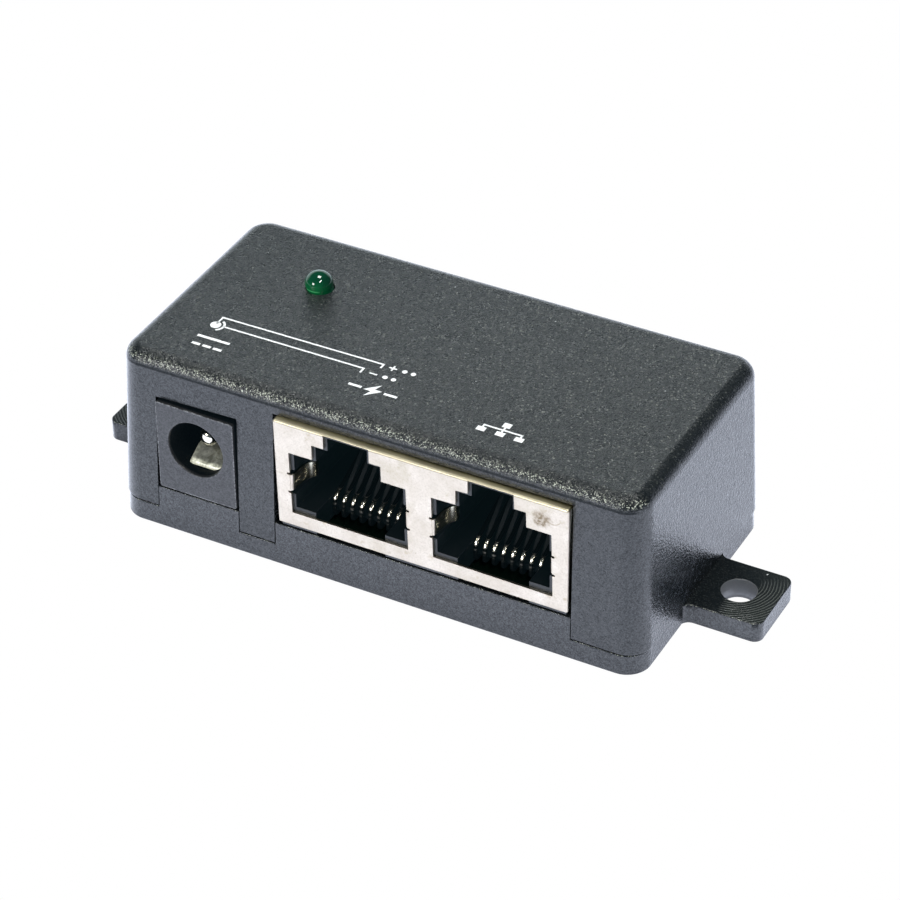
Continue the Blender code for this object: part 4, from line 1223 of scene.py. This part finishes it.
# ------------------------------------------------------------------ DC socket
def build_dc_body():
    bore_r = 3.15
    # (radius, depth): the bore has a rounded mouth
    bore = ((bore_r + 0.13, -1.0), (bore_r + 0.13, 0.0), (bore_r + 0.06, 0.05),
            (bore_r, 0.15), (bore_r, 9.5))
    pin_hole_r = 1.12
    centre = (DC_X, FRONT, DC_Z)
    mesh = boxes_mesh((DC_LO.x + 0.07, DC_HI.x, DC_LO.y, DC_HI.y, DC_LO.z, DC_HI.z))
    for vert in mesh.verts:
        # the top rises a little to the left
        if vert.co.z > DC_Z and vert.co.x < DC_X:
            vert.co.z += 0.12
    lengthwise = [e for e in mesh.edges if abs(e.verts[0].co.y - e.verts[1].co.y) > 1]
    bmesh.ops.bevel(mesh, geom=lengthwise, offset=0.22, segments=4, profile=0.5,
                    affect="EDGES")
    body = emit("dc_socket_body", mesh, DC_BLACK)
    mesh = bmesh.new()
    turned(mesh, bore, centre, segments=96, axis="Y")
    boolean(body, mesh)
    # groove under the leaf, slots below it, and a pocket at its right
    cut_boxes(body, (DC_X - 2.0, DC_X + 2.0, FRONT + 1.3, FRONT + 9.55, 6.1, 9.3))
    cut_boxes(body, (DC_X - 1.4, DC_X + 1.4, FRONT + 8.85, FRONT + 9.45, 3.5, 7.0),
              (DC_X + 3.45, DC_X + 4.05, FRONT + 5.05, FRONT + 6.95, 3.5, 6.9))
    cut_boxes(body, (DC_X + 1.7, DC_X + 4.05, FRONT + 5.05, FRONT + 6.95, 6.45, 9.75))
    mesh = bmesh.new()
    turned(mesh, ((pin_hole_r, 8.5), (pin_hole_r, DC_HI.y - FRONT + 1)), centre, segments=32,
           axis="Y")
    boolean(body, mesh)
    soften(body, width=0.07, angle=50)
    ride(body, "case", "dc_plastic", "dc_jack_housing")


def build_dc_pin():
    """Centre pin: domed tip, small shoulder, plain shank, and a plate and leg behind."""
    tip = PIN_LO.y - FRONT
    tip_r, dome = 0.80, 0.42
    # (radius, depth)
    profile = [(0.0, tip)]
    for degrees in range(9, 91, 9):
        angle = math.radians(degrees)
        profile.append((tip_r * math.sin(angle), tip + dome * (1 - math.cos(angle))))
    profile += [(tip_r, tip + 0.48), (0.84, tip + 0.52), (0.93, tip + 0.56),
                (0.985, tip + 0.64), (1.0, tip + 0.75), (1.0, DC_HI.y - FRONT + 0.2)]
    mesh = bmesh.new()
    turned(mesh, profile, (DC_X, FRONT, DC_Z), segments=56, axis="Y")
    pin = emit("dc_pin", mesh, NICKEL)
    back = DC_HI.y - FRONT + 0.15
    plate_y = (FRONT + back, FRONT + back + 0.3)
    join_box(pin, DC_X - PIN_HEAD_HALF, DC_X + PIN_HEAD_HALF, *plate_y,
             6.0, DC_Z + PIN_HEAD_HALF)
    join_box(pin, DC_X - 1.1, DC_X + 1.1, *plate_y, 2.3, 6.4)
    crease(pin, 45)
    ride(pin, "case", "nickel", "dc_center_pin")


def build_dc_leaf():
    """Sprung sleeve contact with a rolled front edge and a tab at its right."""
    # (depth, z)
    path = smooth_path([(1.78, 7.80), (1.80, 7.97), (2.02, 8.16), (3.25, 8.84), (3.75, 8.98),
                        (4.35, 8.99), (6.40, 8.72), (8.40, 8.43), (8.80, 8.34), (9.05, 8.22),
                        (LEAF_HI.y - 0.15 - FRONT, 8.05)])
    mesh = bmesh.new()
    strip(mesh, path, 0.34, lambda depth, z, across: (across, FRONT + depth, z),
          DC_X - 1.8, DC_X + 1.8, radius=0.13, steps=4)
    leaf = emit("dc_sleeve_leaf", mesh, LEAF)
    join_box(leaf, DC_X + 1.6, LEAF_HI.x, FRONT + 5.3, FRONT + 6.7, 8.655, 8.875)
    leaf.data.shade_smooth()
    crease(leaf, 45)
    ride(leaf, "dc_leaf", "nickel", "dc_sleeve_spring")


# ------------------------------------------------------------------------ LED
def build_led():
    radius = 1.48
    foot = LED_LO.z
    seat = foot + 0.7                 # top of the flange
    middle = COVER_TOP + 0.46         # widest height of the dome
    # (radius, z)
    profile = [(0.0, foot), (radius + 0.10, foot), (radius + LED_FLANGE, foot + 0.12),
               (radius + LED_FLANGE, seat - 0.12), (radius + 0.14, seat), (radius, seat),
               (radius, COVER_TOP - 0.16), (radius - 0.17, COVER_TOP - 0.13)]
    for half_height, angles in ((0.98, range(-28, 0, 4)), (LED_TOP - middle, range(0, 90, 5))):
        for angle in map(math.radians, angles):
            profile.append((radius * math.cos(angle), middle + half_height * math.sin(angle)))
    profile.append((0.0, LED_TOP))
    mesh = bmesh.new()
    turned(mesh, profile, (LED_X, LED_Y, 0), segments=72)
    dome = emit("led_dome", mesh, LED)
    crease(dome, 40)
    ride(dome, "case", "led_green", "led_lens")


# ------------------------------------------------------------ printed symbols
def print_piece(name, *outlines):
    """Raise (x, y) outlines slightly above the cover's top."""
    mesh = bmesh.new()
    for outline in outlines:
        loft(mesh, [[(x, y, z) for x, y in outline]
                    for z in (COVER_TOP - 0.004, COVER_TOP + 0.022)])
    ride(emit(name, mesh, INK, smooth=False), "case", "case_plastic")


def side_normal(run_x, run_y):
    length = math.hypot(run_x, run_y)
    return -run_y / length, run_x / length


def stroke(points, width):
    """Outline of a stroked open path with mitred corners."""
    left, right = [], []
    last = len(points) - 1
    for i, (x, y) in enumerate(points):
        before, after = points[max(i - 1, 0)], points[min(i + 1, last)]
        arriving = (x - before[0], y - before[1]) if i else (after[0] - x, after[1] - y)
        leaving = (after[0] - x, after[1] - y) if i < last else arriving
        normal1, normal2 = side_normal(*arriving), side_normal(*leaving)
        mitre_x, mitre_y = normal1[0] + normal2[0], normal1[1] + normal2[1]
        length = math.hypot(mitre_x, mitre_y)
        mitre_x, mitre_y = mitre_x / length, mitre_y / length
        reach = width / 2 / max(0.4, mitre_x * normal1[0] + mitre_y * normal1[1])
        left.append((x + mitre_x * reach, y + mitre_y * reach))
        right.append((x - mitre_x * reach, y - mitre_y * reach))
    return left + right[::-1]


def bar(x0, x1, y0, y1):
    return [(x0, y0), (x1, y0), (x1, y1), (x0, y1)]


def print_centre_mark():
    """A dot in an open arc, each with its own lead."""
    x, y = -22.06, -6.09
    lead_w = 0.20
    print_piece("print_centre_dot", arc(x, y, 0.56, 0, 345, 23))
    print_piece("print_centre_arc", stroke(arc(x, y, 0.90, 62, -62, 18), 0.24))
    print_piece("print_lead_plus",
                stroke([(x, y + 0.2), (x, y + 1.44), (-3.70, -4.50), (-3.70, -5.18)], lead_w))
    print_piece("print_lead_minus",
                stroke([(x + 0.86, -6.04), (-5.14, -5.98), (-5.14, -6.74)], lead_w))


def print_sign(name, x, y, plus):
    """A plus or minus with a pair of dots at its right."""
    arm, half = 0.42, 0.09
    if plus:
        sign = [(x - arm, y - half), (x - half, y - half), (x - half, y - arm),
                (x + half, y - arm), (x + half, y - half), (x + arm, y - half),
                (x + arm, y + half), (x + half, y + half), (x + half, y + arm),
                (x - half, y + arm), (x - half, y + half), (x - arm, y + half)]
    else:
        sign = bar(x - arm, x + arm, y - half, y + half)
    dots = [arc(x + 1.30 + 0.95 * k, y, 0.27, 0, 337.5, 15) for k in (0, 1)]
    print_piece(name, sign, *dots)


def print_direct_current():
    """A bar over three dashes."""
    x0, x1, dash_y, bar_y = -22.74, -19.04, -9.80, -8.42
    width, gap = 0.34, 0.14
    step = (x1 - x0) / 3
    dashes = [bar(x0 + step * k + gap, x0 + step * (k + 1) - gap,
                  dash_y - width / 2, dash_y + width / 2) for k in range(3)]
    print_piece("print_direct_current",
                bar(x0, x1, bar_y - width / 2, bar_y + width / 2), *dashes)


def print_power_bolt():
    """A lightning bolt between two bars."""
    x, y = -2.54, -8.87
    bolt = [(x + 0.45, y + 1.15), (x - 0.95, y - 0.18), (x - 0.12, y - 0.18),
            (x - 0.45, y - 1.15), (x + 0.95, y + 0.20), (x + 0.12, y + 0.20)]
    print_piece("print_power_bolt", bolt, bar(x - 2.7, x - 1.25, y - 0.16, y + 0.16),
                bar(x + 1.25, x + 2.7, y - 0.16, y + 0.16))


def print_network():
    """One box joined to three."""
    x, y = 11.81, -8.82
    box_half, line_half, spacing = 0.42, 0.10, 2.04
    outlines = [bar(x - box_half, x + box_half, y + 0.36, y + 0.36 + 0.74),
                bar(x - line_half, x + line_half, y + 0.02, y + 0.32),
                bar(x - 2.14, x + 2.14, y - 0.20, y)]
    for k in (-1, 0, 1):
        middle = x + spacing * k
        outlines.append(bar(middle - line_half, middle + line_half, y - 0.46, y - 0.22))
        outlines.append(bar(middle - box_half * 1.1, middle + box_half * 1.1,
                            y - 1.12, y - 0.48))
    print_piece("print_network", *outlines)


build_cover()
build_base()
build_shield()
build_socket_body()
build_wires()
build_dc_body()
build_dc_pin()
build_dc_leaf()
build_led()
print_centre_mark()
print_sign("print_plus_pair", -2.55, -4.67, plus=True)
print_sign("print_minus_pair", -3.85, -6.37, plus=False)
print_direct_current()
print_power_bolt()
print_network()

# finishes on the CAD nodes that stay
FINISH = {
    "case_screw_front_right": SCREW, "case_screw_rear_left": SCREW, "circuit_board": BOARD,
    "rj45_shield_rear": TIN, "poe_contact_carrier": CARRIER, "lan_contact_carrier": CARRIER,
    "dc_sleeve_terminal": NICKEL, "dc_switch_contact": NICKEL,
    "led_anode_lead": LEADS, "led_cathode_lead": LEADS, "led_resistor": CHIP,
}
for name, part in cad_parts.items():
    if name not in FINISH:
        continue
    if not part.material_slots:
        part.data.materials.append(FINISH[name])
    for slot in part.material_slots:
        slot.material = FINISH[name]


# ----------------------------------------------------------- stage and light
def floor_material():
    """White to the camera; to everything else, the lit top of a light table."""
    material = blank_material("pale_floor")
    net = Net(material.node_tree)
    x, y, _ = net.split("SeparateXYZ", {0: net.add("NewGeometry", output="Position")})
    # a little dimmer to the right and the rear
    strength = x.ramp(over=(0.035, 0.075), to=(1.35, 1.20))
    strength *= y.ramp(over=(0.010, 0.080), to=(1.0, 0.92))
    table = net.add("Emission", {"Color": (0.62, 0.655, 0.76), "Strength": strength})
    matte = net.add("BsdfDiffuse", {"Color": (0.76, 0.80, 0.94)})
    lit = net.add("AddShader", {0: matte, 1: table})
    white = net.add("Emission", {"Color": (1.0, 1.0, 1.0)})
    seen = net.add("LightPath", output="Is Camera Ray")
    net.node("OutputMaterial", {"Surface": net.add("MixShader", {0: seen, 1: lit, 2: white})})
    return material


def build_floor():
    mesh = bmesh.new()
    bmesh.ops.create_grid(mesh, x_segments=2, y_segments=2, size=2500.0)
    floor = emit("floor", mesh, None, smooth=False)
    floor.location.z = -0.00002
    floor.data.materials.append(floor_material())


def area_light(name, direction, size, irradiance, colour, size_y=None, spin=0.0):
    """Area light that gives the stated irradiance at the object; sizes in metres."""
    distance = 1.5
    toward = Vector(direction).normalized()
    light = bpy.data.lights.new(name, "AREA")
    light.energy = irradiance * math.pi * distance * distance
    light.color = colour
    light.size = size
    if size_y:
        light.shape = "RECTANGLE"
        light.size_y = size_y
    lamp = bpy.data.objects.new(name, light)
    lamp.location = toward * distance + Vector((0, 0, 0.01))
    turn = Matrix.Rotation(spin, 3, "Z").to_quaternion()
    lamp.rotation_euler = (toward.to_track_quat("Z", "Y") @ turn).to_euler()
    bpy.context.scene.collection.objects.link(lamp)


def build_world():
    """Dim surroundings with a pale wall behind the object, to the left; white to the
    camera."""
    world = bpy.data.worlds.new("studio")
    bpy.context.scene.world = world
    world.use_nodes = True
    net = Net(world.node_tree)
    background = world.node_tree.nodes["Background"]
    # plain colour, shown only if the wall is unlinked
    net.put(background.inputs["Color"], (0.085, 0.10, 0.115))
    background.inputs["Strength"].default_value = 1.0
    x, y, z = net.split("SeparateXYZ", {0: net.add("TexCoord", output="Generated")})
    rear_left = x * -0.60 + y * 0.80
    wall = rear_left.ease(over=(0.40, 0.80)) * z.ease(over=(0.30, 0.56), to=(1.0, 0.0))
    net.put(background.inputs["Color"],
            net.mix((0.055, 0.075, 0.088), (1.42, 1.58, 1.66), by=wall))
    white = net.add("Background", {"Color": (1.0, 1.0, 1.0)})
    seen = net.add("LightPath", output="Is Camera Ray")
    net.put(world.node_tree.nodes["World Output"].inputs["Surface"],
            net.add("MixShader", {0: seen, 1: Signal(net, background.outputs[0]), 2: white}))


def build_camera():
    turn, rise, roll = (math.radians(angle) for angle in (28.306, 36.260, -0.614))
    distance = 0.326335
    target = Vector((9.047, FRONT, 20.768)) * MM
    lens = bpy.data.cameras.new("camera")
    lens.lens = 137.516
    lens.sensor_width = 36.0
    lens.clip_start = 0.01
    camera = bpy.data.objects.new("camera", lens)
    back = Vector((math.sin(turn) * math.cos(rise), -math.cos(turn) * math.cos(rise),
                   math.sin(rise)))
    level = Vector((math.cos(turn), math.sin(turn), 0.0))
    upright = back.cross(level)
    right = level * math.cos(roll) + upright * math.sin(roll)
    up = upright * math.cos(roll) - level * math.sin(roll)
    place = target + back * distance
    camera.matrix_world = Matrix((*zip(right, up, back, place), (0, 0, 0, 1)))
    bpy.context.scene.collection.objects.link(camera)
    bpy.context.scene.camera = camera


build_floor()
area_light("overhead", direction=(-0.027, 0.148, 0.988), size=0.50, irradiance=2.35,
           colour=(0.98, 1.0, 0.98))
area_light("front_left", direction=(-0.343, -0.840, 0.423), size=0.40, irradiance=1.5,
           colour=(1.0, 1.0, 1.0))
area_light("front_right", direction=(0.409, -0.348, 0.841), size=0.66, size_y=0.17,
           irradiance=1.5, colour=(1.0, 1.0, 0.98), spin=0.6)
build_world()
build_camera()
bpy.context.scene.view_settings.view_transform = "Standard"
bpy.context.scene.view_settings.look = "None"
